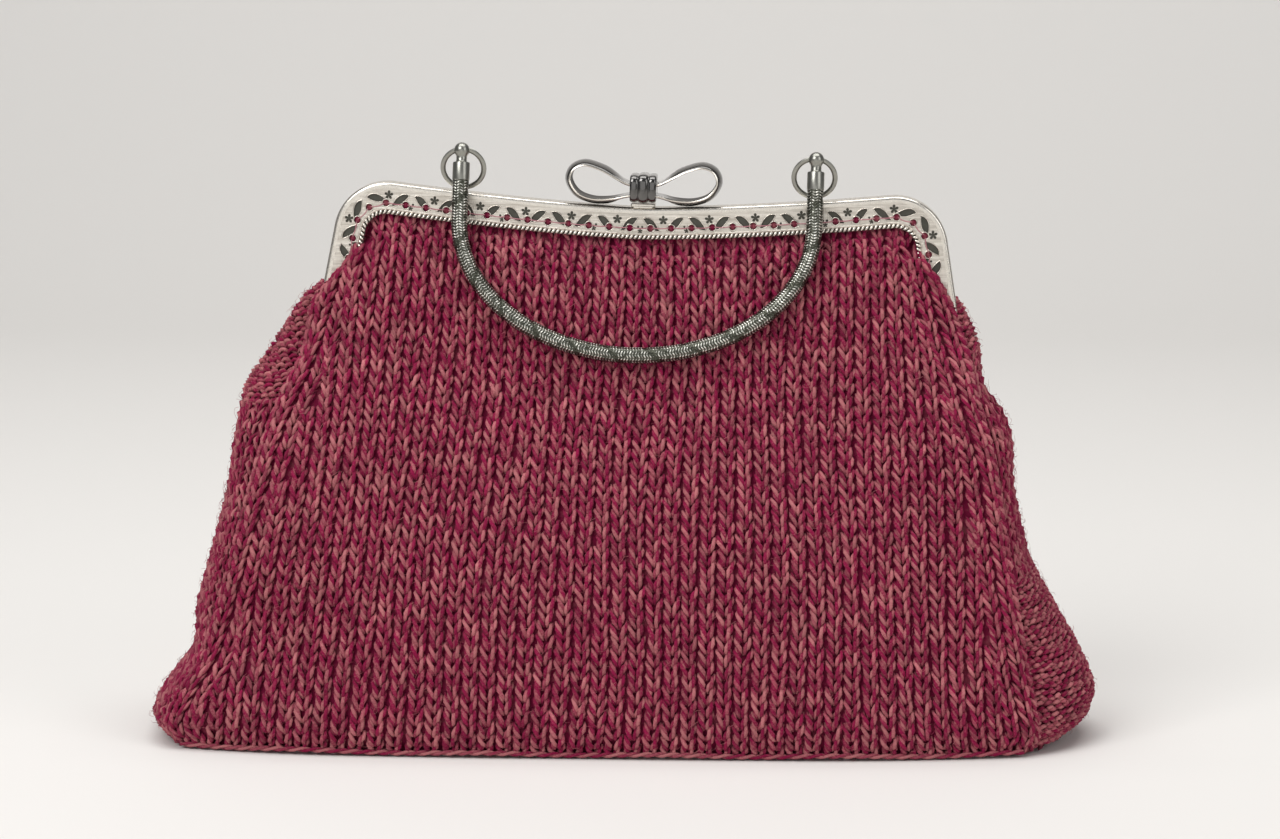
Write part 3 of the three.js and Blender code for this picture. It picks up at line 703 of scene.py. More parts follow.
def share_at(run):
    """Share of the way up to the frame, for a distance along the cloth from its foot."""
    beyond = np.clip(run, None, 0) + np.clip(run - PANEL_RUN, 0, None)
    return 1 - (np.interp(run, profile_run, drops) - beyond) / MOUTH_DROP


def cloth_x(across, share):
    centre = CENTRE_BOTTOM + (CENTRE_TOP - CENTRE_BOTTOM) * share
    wave = np.sin(share * WANDER["up"] + across / WANDER["lean"])
    wander = WANDER["reach"] * wave * np.sin(across / WANDER["across"] + WANDER["phase"])
    return centre + across * (1 + FAN * (1 - 2 * share)) + wander


print("rows run", round(PANEL_RUN), "mm along the profile")


# %% Curl at the seams and tuck behind the frame
def rolled(x, share):
    """Cloth past a seam curls back round its edge: the new x, and how far back it goes."""
    back = np.zeros_like(x)
    for side in (-1, 1):
        seam = seam_x(side, share)
        past = np.clip((side * (x - seam) + EDGE_ROLL) / EDGE_ROLL, 0, None)
        past = np.minimum(past, ROLL_REACH) + ROLL_CREEP * np.clip(past - ROLL_REACH, 0, None)
        x = np.where(past > 0, seam + side * EDGE_ROLL * (np.sin(past) - 1), x)
        back = back + EDGE_ROLL * (1 - np.cos(past))
    return x, back


def frame_inset(x, height):
    """How far a point lies in from the outer edge of the frame near a shoulder."""
    along = np.abs((x - FRAME_X) * math.cos(FRAME_ROLL) - (height - FRAME_Z) * math.sin(FRAME_ROLL))
    up = (x - FRAME_X) * math.sin(FRAME_ROLL) + (height - FRAME_Z) * math.cos(FRAME_ROLL)
    side, top = along - SHOULDER_CENTRE[0], up - SHOULDER_CENTRE[1]
    past_arm = side * math.cos(ARM_SPLAY) + top * math.sin(ARM_SPLAY)
    past_top = top * math.cos(SHOULDER_SLOPE) - side * math.sin(SHOULDER_SLOPE)
    in_corner = (side > 0) & (side * math.sin(ARM_SPLAY) < top * math.cos(ARM_SPLAY))
    return SHOULDER_RADIUS - np.where(in_corner, np.hypot(side, top), np.maximum(past_arm, past_top))


def tucked_depth(x, height):
    """Depth at which the cloth passes behind the frame's shoulders, far out where it is free."""
    free = np.where(x < FRAME_X, CORNER_FROM[-1], CORNER_FROM[1]) - height
    drop = np.maximum(frame_inset(x, height) - BAND, CORNER_RELEASE * free)
    return profile_depth(np.minimum(drop, FULLEST_DROP))


def tucked_panel(x, share):
    """Point on the front panel's face, tucked behind the frame, for an x and a share of the way up."""
    height = share * mouth_height(x)
    depth = np.minimum(panel_depth(x, height), tucked_depth(x, height))
    return np.stack([x, -depth, height], -1)


def panel_cloth(flat_x, share):
    """Point on the front panel's cloth, which curls back past its seams."""
    x, back = rolled(flat_x, share)
    point = tucked_panel(x, share)
    point[..., 1] += back
    return point


def front_cloth(across, run):
    share = share_at(run)
    return panel_cloth(cloth_x(across, share), share)


def lead_x(side, share):
    """Line that the edge columns follow: the seam, then a steady lean where the seam turns in."""
    return seam_x(side, np.minimum(share, LEAD_TOP)) - side * LEAD_LEAN * np.clip(share - LEAD_TOP, 0, None)


def edge_cloth(side, line_x):
    """The front panel's cloth by distance from a line that its edge columns follow."""
    def cloth(across, run):
        share = share_at(run)
        return panel_cloth(line_x(side, share) + across, share)
    return cloth


def behind(front):
    """The back panel's cloth, a mirror of one on the front."""
    def cloth(across, run):
        return front(-across, run) * np.array([1, -1, 1])
    return cloth


def thin_at_hem(across, run):
    """Cloth is pressed thin where it is tucked behind the frame."""
    drop = (1 - share_at(run)) * MOUTH_DROP
    return HEM_THIN + (1 - HEM_THIN) * smoothstep(drop, *HEM_PRESSED)


# %% Places of the stitches
LINING_DEPTH = 2.9
LINING_INSET = 1.5
LINING_STOPS = 61
COLUMNS_EACH_WAY = 27
FRONT_SIDES = 5
BACK_SIDES = 4
BACK_LEG = LEG[[0, 1, 3, 5]]
EDGE_COLUMNS = np.arange(3) * STITCH_ACROSS - 1.5
EDGE_CLEARANCE = 1.3

rows = np.arange(0, int(PANEL_RUN / STITCH_UP)) * STITCH_UP
columns = np.arange(-COLUMNS_EACH_WAY, COLUMNS_EACH_WAY + 1) * STITCH_ACROSS
grid_across, grid_run = np.meshgrid(columns, rows)
starts = np.stack([grid_across.ravel(), grid_run.ravel()], -1)
middle_share = share_at(starts[:, 1] + STITCH_UP / 2)
middle_x = cloth_x(starts[:, 0], middle_share)
from_lead = np.minimum(middle_x - lead_x(-1, middle_share), lead_x(1, middle_share) - middle_x)
starts = starts[from_lead > EDGE_COLUMNS[-1] + EDGE_CLEARANCE]
rim_rows = rows[share_at(rows) > LEAD_TOP]
edge_starts, rim_starts = {}, {}
for side in (-1, 1):
    rim_starts[side] = np.stack([np.full(len(rim_rows), -side * EDGE_COLUMNS[0]), rim_rows], -1)
    edge_across, edge_run = np.meshgrid(-side * EDGE_COLUMNS, rows)
    edge_share = share_at(edge_run + STITCH_UP / 2)
    past_seam = side * (lead_x(side, edge_share) + edge_across - seam_x(side, edge_share))
    showing = past_seam < EDGE_ROLL * (ROLL_REACH - 1)
    edge_starts[side] = np.stack([edge_across[showing], edge_run[showing]], -1)
lining_percent, lining_run = np.meshgrid(
    np.linspace(-100, 100, LINING_STOPS),
    np.linspace(0, PANEL_RUN, LINING_STOPS),
)
lining_depth = LINING_DEPTH * thin_at_hem(lining_percent, lining_run)[..., None]


def lining_cloth(mirror):
    """A panel's face for a percentage of the way from its middle to a seam, and a distance up."""
    def cloth(percent, run):
        share = share_at(run)
        left, right = seam_x(-1, share), seam_x(1, share)
        x = (left + right) / 2 + mirror * percent / 100 * (right - left - LINING_INSET) / 2
        return tucked_panel(x, share) * np.array([1, mirror, 1])
    return cloth


along_seams = sum(len(edge_starts[side]) + len(rim_starts[side]) for side in (-1, 1))
print("stitches on each panel:", len(starts) + along_seams)

# %% Knit the front and the back
THIRD = 45.0
front_thirds = [
    # piece, its stitches, the seam it follows
    ("front_knit_left", starts[:, 0] < -THIRD, -1),
    ("front_knit_middle", np.abs(starts[:, 0]) <= THIRD, None),
    ("front_knit_right", starts[:, 0] > THIRD, 1),
]
for seed, (name, chosen, side) in enumerate(front_thirds):
    parts = [lay_stitches(front_cloth, starts[chosen], FRONT_SIDES, 10 + seed, thin=thin_at_hem)]
    if side is None:
        parts.append(lining(lining_cloth(1), lining_percent, lining_run, lining_depth))
    else:
        for line_x, line_starts in ((lead_x, edge_starts), (seam_x, rim_starts)):
            cloth = edge_cloth(side, line_x)
            parts.append(lay_stitches(cloth, line_starts[side], FRONT_SIDES, 20 + seed, thin=thin_at_hem))
    knit_piece(name, parts, ["front_panel"])

back_halves = [
    # piece, its stitches, the seam it follows
    ("back_knit_left", starts[:, 0] < 0, -1),
    ("back_knit_right", starts[:, 0] >= 0, 1),
]
to_back = np.array([-1, 1])
for seed, (name, chosen, side) in enumerate(back_halves):
    parts = []
    for cloth, laid in (
        (front_cloth, starts[chosen]),
        (edge_cloth(side, lead_x), edge_starts[side]),
        (edge_cloth(side, seam_x), rim_starts[side]),
    ):
        laid = laid * to_back
        parts.append(lay_stitches(behind(cloth), laid, BACK_SIDES, 30 + seed, BACK_LEG, thin_at_hem))
    if side < 0:
        parts.append(lining(lining_cloth(-1), lining_percent, lining_run, lining_depth))
    knit_piece(name, parts, ["back_panel"])

# %% [markdown]
# Gussets
#
# The gussets show the same V stitches as the front, which run round the corner without a break. Low on the
# right and high on both sides the cloth is turned over and shows its purl side: rows of small beads, where
# each row of yarn arches over the loops below. The yarn swells and comes forward at each bead and dives
# between two, and each row lies half a bead along from the row below. Columns of V's start at the front edge
# and run along it, and both gussets follow the valley that they fold into as the bag narrows to the hinge.

# %% Unroll the gussets
STITCH_SPANS = {-1: (0.0, 110.0), 1: (56.0, 126.0)}
GUSSET_CREEP = 0.3
GUSSET_LEVELS = 150
GUSSET_SHARES = 101
GUSSET_STOPS = 401


def unroll_gusset(side):
    """Girth of a gusset by height, and where each share of that girth lies between its front and its back."""
    levels = np.linspace(0, GUSSET_TOP[side], GUSSET_LEVELS)
    girths, places = [], []
    for level in levels:
        reach = float(gusset_reach(side, level))
        along = np.linspace(-reach, reach, GUSSET_STOPS)
        run = run_along(gusset_point(side, np.full_like(along, level), along))
        girths.append(run[-1])
        places.append(np.interp(np.linspace(0, run[-1], GUSSET_SHARES), run, along))
    return levels, np.array(girths), np.array(places)


unrolled = {side: unroll_gusset(side) for side in (-1, 1)}


def gusset_girth(side, height):
    levels, girths, _ = unrolled[side]
    return np.interp(height, levels, girths)


def gusset_cloth(side):
    """The gusset's face by distance round it from its front edge, counted so that the normal points out."""
    levels, _, places = unrolled[side]

    def cloth(across, height):
        girth = gusset_girth(side, height)
        round_it = side * across
        on_it = np.clip(round_it, 0, girth)
        column = on_it / girth * (GUSSET_SHARES - 1)
        row = np.clip(height / levels[-1], 0, 1) * (GUSSET_LEVELS - 1)
        left = np.minimum(column.astype(int), GUSSET_SHARES - 2)
        low = np.minimum(row.astype(int), GUSSET_LEVELS - 2)
        rightward, upward = column - left, row - low
        lower = places[low, left] * (1 - rightward) + places[low, left + 1] * rightward
        upper = places[low + 1, left] * (1 - rightward) + places[low + 1, left + 1] * rightward
        along = lower * (1 - upward) + upper * upward + GUSSET_CREEP * (round_it - on_it)
        return gusset_point(side, height, along)
    return cloth


girths = [round(float(gusset_girth(side, STITCH_SPANS[side][1]))) for side in (-1, 1)]
print("girths of the gussets where the V stitches end:", girths, "mm")


# %% Stitches and purl beads on the gussets
PURL_ROW = 1.9
PURL_BEAD = 3.3
PURL_ARCH = 0.6
PURL_TWIST = 9.0
PURL_STEP = 0.68
PURL_SIDES = 4
PURL_SLOPE = 0.05
PURL_WANDER = {"along": 0.2, "along_wave": 9, "up": 0.25, "up_wave": 5.1}
PURL_SWELL = {"out": 1.3, "sunk": 0.5, "thinnest": 0.82, "fuller": 0.3}
PURL_DYE = {"middle": 0.35, "by_row": 0.3, "row_wave": 1.3, "spread": 0.3}
PURL_TONE_SPREAD = 0.3
PURL_LOWEST = 0.8
PURL_SPANS = {-1: [(110.0, GUSSET_TOP[-1])], 1: [(1.6, 56.0), (126.0, GUSSET_TOP[1])]}
SWELL_LINE = 0.4
GUSSET_ACROSS = 5.2
GUSSET_WIDEST = 132.0
GUSSET_OVERLAP = 2.2
PURL_OVERLAP = 4.0
GUSSET_FIRST = 0.5
ROW_STOPS = 200
GUSSET_GROUND = {"depth": 2.6, "lowest": 0.3, "levels": 40, "shares": 41, "over": 0.02}


def row_heights(side, low, high, pitch):
    """Heights of rows that lie equally far apart along the swell of a gusset."""
    level = np.linspace(low, high, ROW_STOPS)
    run = run_along(gusset_point(side, level, SWELL_LINE * gusset_reach(side, level)))
    return np.interp(np.arange(0, run[-1], pitch), run, level)


def gusset_stitches(side, seed):
    """V stitches on a gusset, in columns that start at its front edge."""
    columns = np.arange(GUSSET_FIRST, GUSSET_WIDEST, GUSSET_ACROSS)
    rows = row_heights(side, *STITCH_SPANS[side], STITCH_UP)
    round_it, height = np.meshgrid(columns, rows)
    near = round_it < gusset_girth(side, height + STITCH_UP / 2) + GUSSET_OVERLAP
    starts = np.stack([side * round_it[near], height[near]], -1)
    return lay_stitches(gusset_cloth(side), starts, BACK_SIDES, seed, BACK_LEG)


def purl_row(side, number, height, seed):
    """One row of purl beads across a gusset, half a bead along from the row below."""
    chance = np.random.default_rng(seed)
    across = side * np.arange(-PURL_OVERLAP, gusset_girth(side, height) + PURL_OVERLAP, PURL_STEP)
    drift = PURL_WANDER["along"] * np.sin(across / PURL_WANDER["along_wave"] + number)
    place = across / PURL_BEAD + 0.5 * (number % 2) + drift
    bump = np.abs(np.cos(math.pi * place))
    bead = np.round(place).astype(int) - int(np.round(place).min())
    rise = PURL_WANDER["up"] * np.sin(across / PURL_WANDER["up_wave"] + 2 * number)
    up = np.maximum(height + PURL_SLOPE * across + PURL_ARCH * (bump - 0.5) + rise, PURL_LOWEST)
    out = PURL_SWELL["out"] * bump - PURL_SWELL["sunk"]
    fullness = PURL_SWELL["thinnest"] + PURL_SWELL["fuller"] * bump
    row_dye = PURL_DYE["middle"] + PURL_DYE["by_row"] * math.sin(number * PURL_DYE["row_wave"])
    dye = row_dye + chance.normal(0, PURL_DYE["spread"], bead.max() + 1)[bead]
    tone = chance.normal(0, PURL_TONE_SPREAD, bead.max() + 1)[bead]
    path = [array[None, :] for array in (across, up, out, fullness, np.clip(dye, 0, 1), tone)]
    return wind_yarn(gusset_cloth(side), *path, PURL_SIDES, seed, pitch=PURL_TWIST)


gussets = [
    # side, piece, CAD node, seed
    (-1, "gusset_knit_left", "gusset_left", 60),
    (1, "gusset_knit_right", "gusset_right", 160),
]
for side, name, node, seed in gussets:
    parts = [gusset_stitches(side, seed)]
    for low, high in PURL_SPANS[side]:
        for number, height in enumerate(row_heights(side, low, high, PURL_ROW)):
            parts.append(purl_row(side, number, height, seed + 1 + number))
    levels = np.linspace(GUSSET_GROUND["lowest"], GUSSET_TOP[side], GUSSET_GROUND["levels"])
    shares = np.linspace(-GUSSET_GROUND["over"], 1 + GUSSET_GROUND["over"], GUSSET_GROUND["shares"])
    height_grid, share_grid = np.meshgrid(levels, shares[::side], indexing="ij")
    across_grid = side * share_grid * gusset_girth(side, height_grid)
    parts.append(lining(gusset_cloth(side), across_grid, height_grid, GUSSET_GROUND["depth"]))
    knit_piece(name, parts, [node])

# %% [markdown]
# Stray fibres
#
# Wool sheds fine ends that stand off the cloth and soften every edge of it. Each one is a thin bent hair,
# rooted in the stitches at a random place and lying over at a random angle. A few thousand are enough. The
# hairs are a little lighter than the yarn: a painted highlight for the light that fine fibres catch.

# %% Stray fibres on the front and the gussets
FIBRE_RADIUS = 0.06
FIBRE_SHARES = np.array([0.0, 0.5, 1.0])
FIBRE_TAPER = np.array([1.0, 0.8, 0.3])
FIBRE_SIDES = 3
FIBRE_BEND = 0.7
FIBRE_REACH = (1.2, 3.4)
FIBRE_LIFT = (0.5, 1.5)
FIBRE_ARC = 1.9
FIBRE_ROOT = 0.5
FIBRE_SHADES = (0.2, 1.0)
# Hairs are lightened: a painted highlight for the light that fine fibres catch
FIBRE_HIGHLIGHT_TONE = 0.3
FRONT_FIBRES = 2200
GUSSET_FIBRES = 400
ROOT_SCATTER = 2.5


def stray_fibres(surface, across, up, seed):
    """Hairs rooted at the given places on the cloth."""
    chance = np.random.default_rng(seed)
    count = len(across)
    heading = chance.uniform(0, 2 * math.pi, (count, 1))
    heading = heading + chance.normal(0, FIBRE_BEND, (count, 1)) * FIBRE_SHARES
    reach = chance.uniform(*FIBRE_REACH, (count, 1)) * FIBRE_SHARES
    hair_across = across[:, None] + reach * np.cos(heading)
    hair_up = up[:, None] + reach * np.sin(heading)
    lift = -FIBRE_ROOT + chance.uniform(*FIBRE_LIFT, (count, 1)) * np.sin(FIBRE_ARC * FIBRE_SHARES)
    place, right, rise, out = wall_frame(surface, hair_across, hair_up)
    middle = place + lift[..., None] * out
    angles = full_turn(FIBRE_SIDES)
    thickness = FIBRE_RADIUS * FIBRE_TAPER[None, :, None, None]
    ring = np.cos(angles)[:, None] * (right - rise)[:, :, None, :]
    ring = ring + np.sin(angles)[:, None] * out[:, :, None, :]
    points = (middle[:, :, None, :] + thickness * ring).reshape(-1, 3)
    shade = np.repeat(chance.uniform(*FIBRE_SHADES, count), len(FIBRE_SHARES) * FIBRE_SIDES)
    return {
        "points": points,
        "faces": tube_faces(count, len(FIBRE_SHARES), FIBRE_SIDES),
        "ply": shade,
        "tone": np.full(len(points), FIBRE_HIGHLIGHT_TONE),
        "strand": points,
    }


chance = np.random.default_rng(600)
front_roots = starts[chance.integers(0, len(starts), FRONT_FIBRES)]
front_roots = front_roots + chance.uniform(-ROOT_SCATTER, ROOT_SCATTER, (FRONT_FIBRES, 2))
hairs = [stray_fibres(front_cloth, front_roots[:, 0], np.clip(front_roots[:, 1], 2, PANEL_RUN - 9), 601)]
for side in (-1, 1):
    hair_height = chance.uniform(4, GUSSET_TOP[side] - 3, GUSSET_FIBRES)
    hair_across = side * chance.uniform(0, 1, GUSSET_FIBRES) * gusset_girth(side, hair_height)
    hairs.append(stray_fibres(gusset_cloth(side), hair_across, hair_height, 610 + side))
knit_piece("stray_wool_fibres", hairs, ["front_panel"])

# %% [markdown]
# Seam along the foot
#
# The panels are sewn to the base with one line of yarn. It shows along the foot as a chain of long slanting
# stitches, which is again a yarn with a twist of its own.

# %% Chain along the foot
CHAIN_HEIGHT = 1.5
CHAIN_TWIST = 8.4
CHAIN_STEP = 0.8
CHAIN_INSET = 3.0
CHAIN_OUT = 1.9
CHAIN_FULLNESS = 0.95
CHAIN_SWAY = {"reach": 0.25, "wave": 9}
CHAIN_DYE = {"middle": 0.55, "reach": 0.3, "wave": 11}


def foot_cloth(mirror):
    """A panel's face by place along it and height, on the front for 1 and on the back for -1."""
    def cloth(across, height):
        x = mirror * across
        return np.stack([x, -mirror * panel_depth(x, height), height + 0 * x], -1)
    return cloth


foot_left = seam_at[-1](CHAIN_HEIGHT) + CHAIN_INSET
foot_right = seam_at[1](CHAIN_HEIGHT) - CHAIN_INSET
for mirror, name, node in ((1, "front_foot_chain", "front_panel"), (-1, "back_foot_chain", "back_panel")):
    across = mirror * np.arange(foot_left, foot_right, CHAIN_STEP)[::mirror]
    height = CHAIN_HEIGHT + CHAIN_SWAY["reach"] * np.sin(across / CHAIN_SWAY["wave"])
    out = np.full_like(across, CHAIN_OUT)
    full = np.full_like(across, CHAIN_FULLNESS)
    blend = np.clip(CHAIN_DYE["middle"] + CHAIN_DYE["reach"] * np.sin(across / CHAIN_DYE["wave"]), 0, 1)
    path = [array[None, :] for array in (across, height, out, full, blend, 0 * across)]
    chain = wind_yarn(foot_cloth(mirror), *path, PURL_SIDES, 400, pitch=CHAIN_TWIST)
    knit_piece(name, [chain], [node])

# %% [markdown]
# Base
#
# The base is a plain knitted rectangle with rounded ends, hidden while the bag stands. It faces down, so its
# cloth runs along X and from back to front, and its stitches are coarser than the ones on show.

# %% Knitted base
BASE_SIDES = 3
BASE_MARGIN = 3.0
BASE_EDGE = 1.5
BASE_ENDS = (-148.4, 142.4)
BASE_COARSER = 1.5
BASE_COLUMNS = 19
BASE_ROWS = 8
BASE_MIDDLE = 0.6
BASE_GROUND = {"depth": 3.0, "across": 13, "along": 61}
BASE_LEG = LEG[[0, 2, 3, 5]] * np.array([1, 1, 1, BASE_COARSER])


def base_cloth(across, run):
    return BASE_COARSER * np.stack([across, -run, 0 * across], -1)


def base_reach(x, margin, end_margin):
    """Half the width of the base at a place along it, rounded off under the gussets."""
    past_left = (seam_at[-1](0.0) - x) / (swell[-1](0.0) - end_margin)
    past_right = (x - seam_at[1](0.0)) / (swell[1](0.0) - end_margin)
    past = np.clip(np.maximum(past_left, past_right), 0, 1)
    return (panel_depth(x, 0 * x) - margin) * np.sqrt(1 - past ** 2)


base_columns = np.arange(-BASE_COLUMNS, BASE_COLUMNS + 1) * STITCH_ACROSS
base_rows = np.arange(-BASE_ROWS, BASE_ROWS + 1) * STITCH_UP
base_across, base_run = np.meshgrid(base_columns, base_rows)
base_starts = np.stack([base_across.ravel(), base_run.ravel()], -1)
base_middle = BASE_COARSER * (base_starts + np.array([0, BASE_MIDDLE * STITCH_UP]))
on_base = np.abs(base_middle[:, 1]) < base_reach(base_middle[:, 0], BASE_MARGIN, BASE_MARGIN)
base_parts = [lay_stitches(base_cloth, base_starts[on_base], BASE_SIDES, 300, BASE_LEG)]
base_share, base_x = np.meshgrid(
    np.linspace(-1, 1, BASE_GROUND["across"]),
    np.linspace(*BASE_ENDS, BASE_GROUND["along"]),
)
base_y = base_share * base_reach(base_x, BASE_EDGE, -BASE_EDGE)
base_parts.append(lining(base_cloth, base_x / BASE_COARSER, base_y / BASE_COARSER, BASE_GROUND["depth"]))
knit_piece("base_knit", base_parts, ["base_panel"])

# %% [markdown]
# Silver plate
#
# The frame is pressed brass with a silver plate. Its face is struck with a fine stipple, which scatters light
# and reads as pale satin. The rolled rim and the milled edge are burnished smooth by hands, so they shine
# more. The bow and the rings have a nickel plate, which is darker. The bow's colour is darker still, a
# painted reflection of dark surroundings, and the cut edges of its strip carry a painted highlight. Colour
# and gloss both come from a metallic shader, and small bumps do the rest.

# %% Satin silver, and the dark brass behind it
# Struck silver plate: pale and warm, brushed along the band, with tiny dots that scatter its shine
satin_silver, tree, shader = new_metal("struck_satin_silver_plate")
place = add_node(tree, "ShaderNodeTexCoord")
dots = add_node(
    tree, "ShaderNodeTexVoronoi",
    {"Vector": place.outputs["Object"], "Scale": 1 / (0.65 * MM), "Randomness": 0.35},
)
stretched = add_node(
    tree, "ShaderNodeMapping",
    {"Vector": place.outputs["Object"], "Scale": (0.05, 1.0, 1.0)},
)
brushing = add_node(
    tree, "ShaderNodeTexNoise",
    {"Vector": stretched.outputs["Vector"], "Scale": 1 / (0.8 * MM), "Detail": 3.0, "Roughness": 0.65},
)
brushed = stretch_range(tree, brushing.outputs["Fac"], low=0.3, high=0.7)
tree.links.new(two_tone(tree, brushed, "ece6dc", "b8b0a5"), shader.inputs["Base Color"])
stipple = relief(tree, dots.outputs["Distance"], strength=0.9, depth=0.14)
tree.links.new(stipple, shader.inputs["Normal"])
shader.inputs["Roughness"].default_value = 0.42

# Dark brass: the plain layer behind the silver face, dark and dull, which shows in each opening of the vine
dark_brass, tree, shader = new_metal("dark_dull_brass")
brass_mottle = two_tone(tree, grain(tree, size=1.5, detail=2.0), "4d4c46", "63615a")
tree.links.new(brass_mottle, shader.inputs["Base Color"])
shader.inputs["Roughness"].default_value = 0.55

# %% Burnished silver and nickel
# Satin nickel plate: a darker, cooler grey than the silver, turned smooth, so light runs along it softly
satin_nickel, tree, shader = new_metal("turned_satin_nickel_plate")
turned_colour = two_tone(tree, grain(tree, size=3.0, detail=3.0), "a5a49c", "8a8982")
tree.links.new(turned_colour, shader.inputs["Base Color"])
shader.inputs["Roughness"].default_value = 0.3

# Burnished silver plate: the same metal rubbed smooth, with patches that are a little duller
burnished_silver, tree, shader = new_metal("burnished_silver_plate")
rubbing = grain(tree, size=2.5, detail=4.0)
tree.links.new(two_tone(tree, rubbing, "efe9df", "cfc8bd"), shader.inputs["Base Color"])
rubbed_gloss = stretch_range(tree, rubbing, low=0.3, high=0.7, to_low=0.22, to_high=0.3)
tree.links.new(rubbed_gloss, shader.inputs["Roughness"])

# Polished nickel plate: mirror-like, with the slight waviness of a bent strip
dark_painted_nickel, tree, shader = new_metal("nickel_plate_painted_dark")
waviness = grain(tree, size=4.0, detail=2.0)
nickel_gloss = stretch_range(tree, waviness, low=0.3, high=0.7, to_low=0.06, to_high=0.16)
tree.links.new(nickel_gloss, shader.inputs["Roughness"])
tree.links.new(relief(tree, waviness, strength=0.12, depth=0.2), shader.inputs["Normal"])
# Nickel is darker than silver, and this colour is darker still: a painted reflection of dark surroundings
shader.inputs["Base Color"].default_value = linear("6a6866")
print("materials so far:", sorted(material.name for material in bpy.data.materials))

# %% [markdown]
# The frame's edge
#
# Each half of the frame is one bent strip: a shallow curve along the top, a round shoulder and a splayed arm.
# A list of stops along that edge, each with its direction, is all that is needed to sweep any section along
# it and to place anything on the band. The frame sits a little skew on the bag, so one function turns it.

# %% Stops along the frame and sweeps
ARM_DROP = 31.0
FACE_DEPTH = 4.6
HALF_GAP = 0.15
PLATE = 1.0


def edge_stops(top_steps, shoulder_steps, arm_steps):
    """Stops from one hinge over the top to the other: place along, height and heading of the outer edge."""
    x = np.linspace(0, SHOULDER_X, top_steps + 1)
    heading = np.arctan(SAG_POWER * top_rise(x) / np.maximum(x, 1e-6))
    turn = -(math.pi / 2 - ARM_SPLAY)
    bend = np.linspace(heading[-1], turn, shoulder_steps + 1)[1:]
    bend_x = x[-1] + SHOULDER_RADIUS * (math.sin(heading[-1]) - np.sin(bend))
    bend_z = top_rise(x[-1]) + SHOULDER_RADIUS * (np.cos(bend) - math.cos(heading[-1]))
    arm_z = np.linspace(bend_z[-1], -ARM_DROP, arm_steps + 1)[1:]
    arm_x = bend_x[-1] + (arm_z - bend_z[-1]) / math.tan(turn)
    right = np.stack([
        np.concatenate([x, bend_x, arm_x]),
        np.concatenate([top_rise(x), bend_z, arm_z]),
        np.concatenate([heading, bend, np.full(arm_steps, turn)]),
    ], -1)
    left = right[:0:-1] * np.array([-1, 1, -1])
    return np.concatenate([left, right])


def on_frame(points):
    """Turns points from the frame's own axes to the bag's."""
    along, y, up = np.moveaxis(np.asarray(points, float), -1, 0)
    x = FRAME_X + along * math.cos(FRAME_ROLL) + up * math.sin(FRAME_ROLL)
    z = FRAME_Z - along * math.sin(FRAME_ROLL) + up * math.cos(FRAME_ROLL)
    return np.stack([x, y, z], -1)


def band_point(stop, inset, y):
    x, z, heading = stop[..., 0], stop[..., 1], stop[..., 2]
    return np.stack([x + inset * np.sin(heading), y + 0 * x, z - inset * np.cos(heading)], -1)


def capped_tube(rings):
    """Points and faces of a tube through a list of rings, with both ends closed."""
    count = len(rings[0])
    points = np.concatenate(rings)
    faces = tube_faces(1, len(rings), count).tolist()
    faces.append(list(range(count)))
    faces.append(list(range(len(points) - count, len(points)))[::-1])
    return points, faces


def sweep_section(stops, section):
    """A closed section of (inset, depth) points swept along the frame's edge, with its ends capped."""
    return capped_tube(np.stack([band_point(stops, inset, -depth) for inset, depth in section], 1))


def stops_along(inset, pitch, reach, offset=0.0):
    """Stops at equal distances along the band, counted both ways from its middle, at one inset."""
    run = run_along(band_point(FINE_STOPS, inset, 0.0))
    run = run - run[len(run) // 2]
    wanted = (np.arange(-int(reach / pitch), int(reach / pitch) + 1) + offset) * pitch
    wanted = wanted[np.abs(wanted) <= reach]
    return np.stack([np.interp(wanted, run, FINE_STOPS[:, k]) for k in range(3)], -1)


FRAME_STOPS = edge_stops(60, 28, 8)
FINE_STOPS = edge_stops(200, 80, 60)
print("frame stops:", len(FRAME_STOPS))

# %% [markdown]
# The pierced band
#
# A traditional vine is pierced through the silver face: pairs of leaves like an arch, a small flower of five
# petals between each two pairs, and dots and a bud under each arch. Behind the face lies a plain layer of
# dark brass, which shows in every opening. Only the round holes that the knit is sewn through go right
# through both, and they have a spacing of their own. Each layer is a plain sweep, and a boolean cuts all its
# openings at once. Punching leaves a low bright lip round each leaf and hole, which catches the light.

# %% Openings of the vine
MID_BAND = 5.0
VINE_REACH = 112.0
ARCH_REACH = VINE_REACH - 8
FLOWER_REACH = VINE_REACH - 2
VINE_PERIOD = 14.8
HOLE_PITCH = 6.58
HOLE_RADIUS = 1.25
HOLE_INSET = 6.6
FLOWER_INSET = 4.0
CUT_FRONT = 7.0
CUT_BACK = 2.9
LEAF = np.array([
    # along the band from the middle of the arch, inset
    (0.75, 3.35),
    (1.9, 3.1),
    (3.0, 3.25),
    (4.0, 3.85),
    (4.85, 4.75),
    (5.5, 5.8),
    (6.0, 6.8),
    (6.6, 7.45),
    (5.3, 7.4),
    (4.3, 7.1),
    (3.5, 6.7),
    (2.8, 6.15),
    (2.1, 5.35),
    (1.4, 4.4),
])
MIRROR = np.array([-1, 1])
PETAL = {"count": 5, "heart": 0.5, "length": 1.0, "fullness": 0.7}
BUD_SHARE = 0.55
BUD_INSET = 7.45
DOT_RADIUS = 0.38
DOT_PLACES = np.array([
    # along the band from the middle of the arch, inset
    (-0.65, 6.15),
    (0.65, 6.15),
])
circle = np.linspace(0, 2 * math.pi, 20, endpoint=False)
petal_line = np.linspace(0, 2 * math.pi, 60, endpoint=False)
petal_wave = np.abs(np.cos(PETAL["count"] / 2 * (petal_line - math.pi / 2))) ** PETAL["fullness"]
petal_radius = PETAL["heart"] + PETAL["length"] * petal_wave
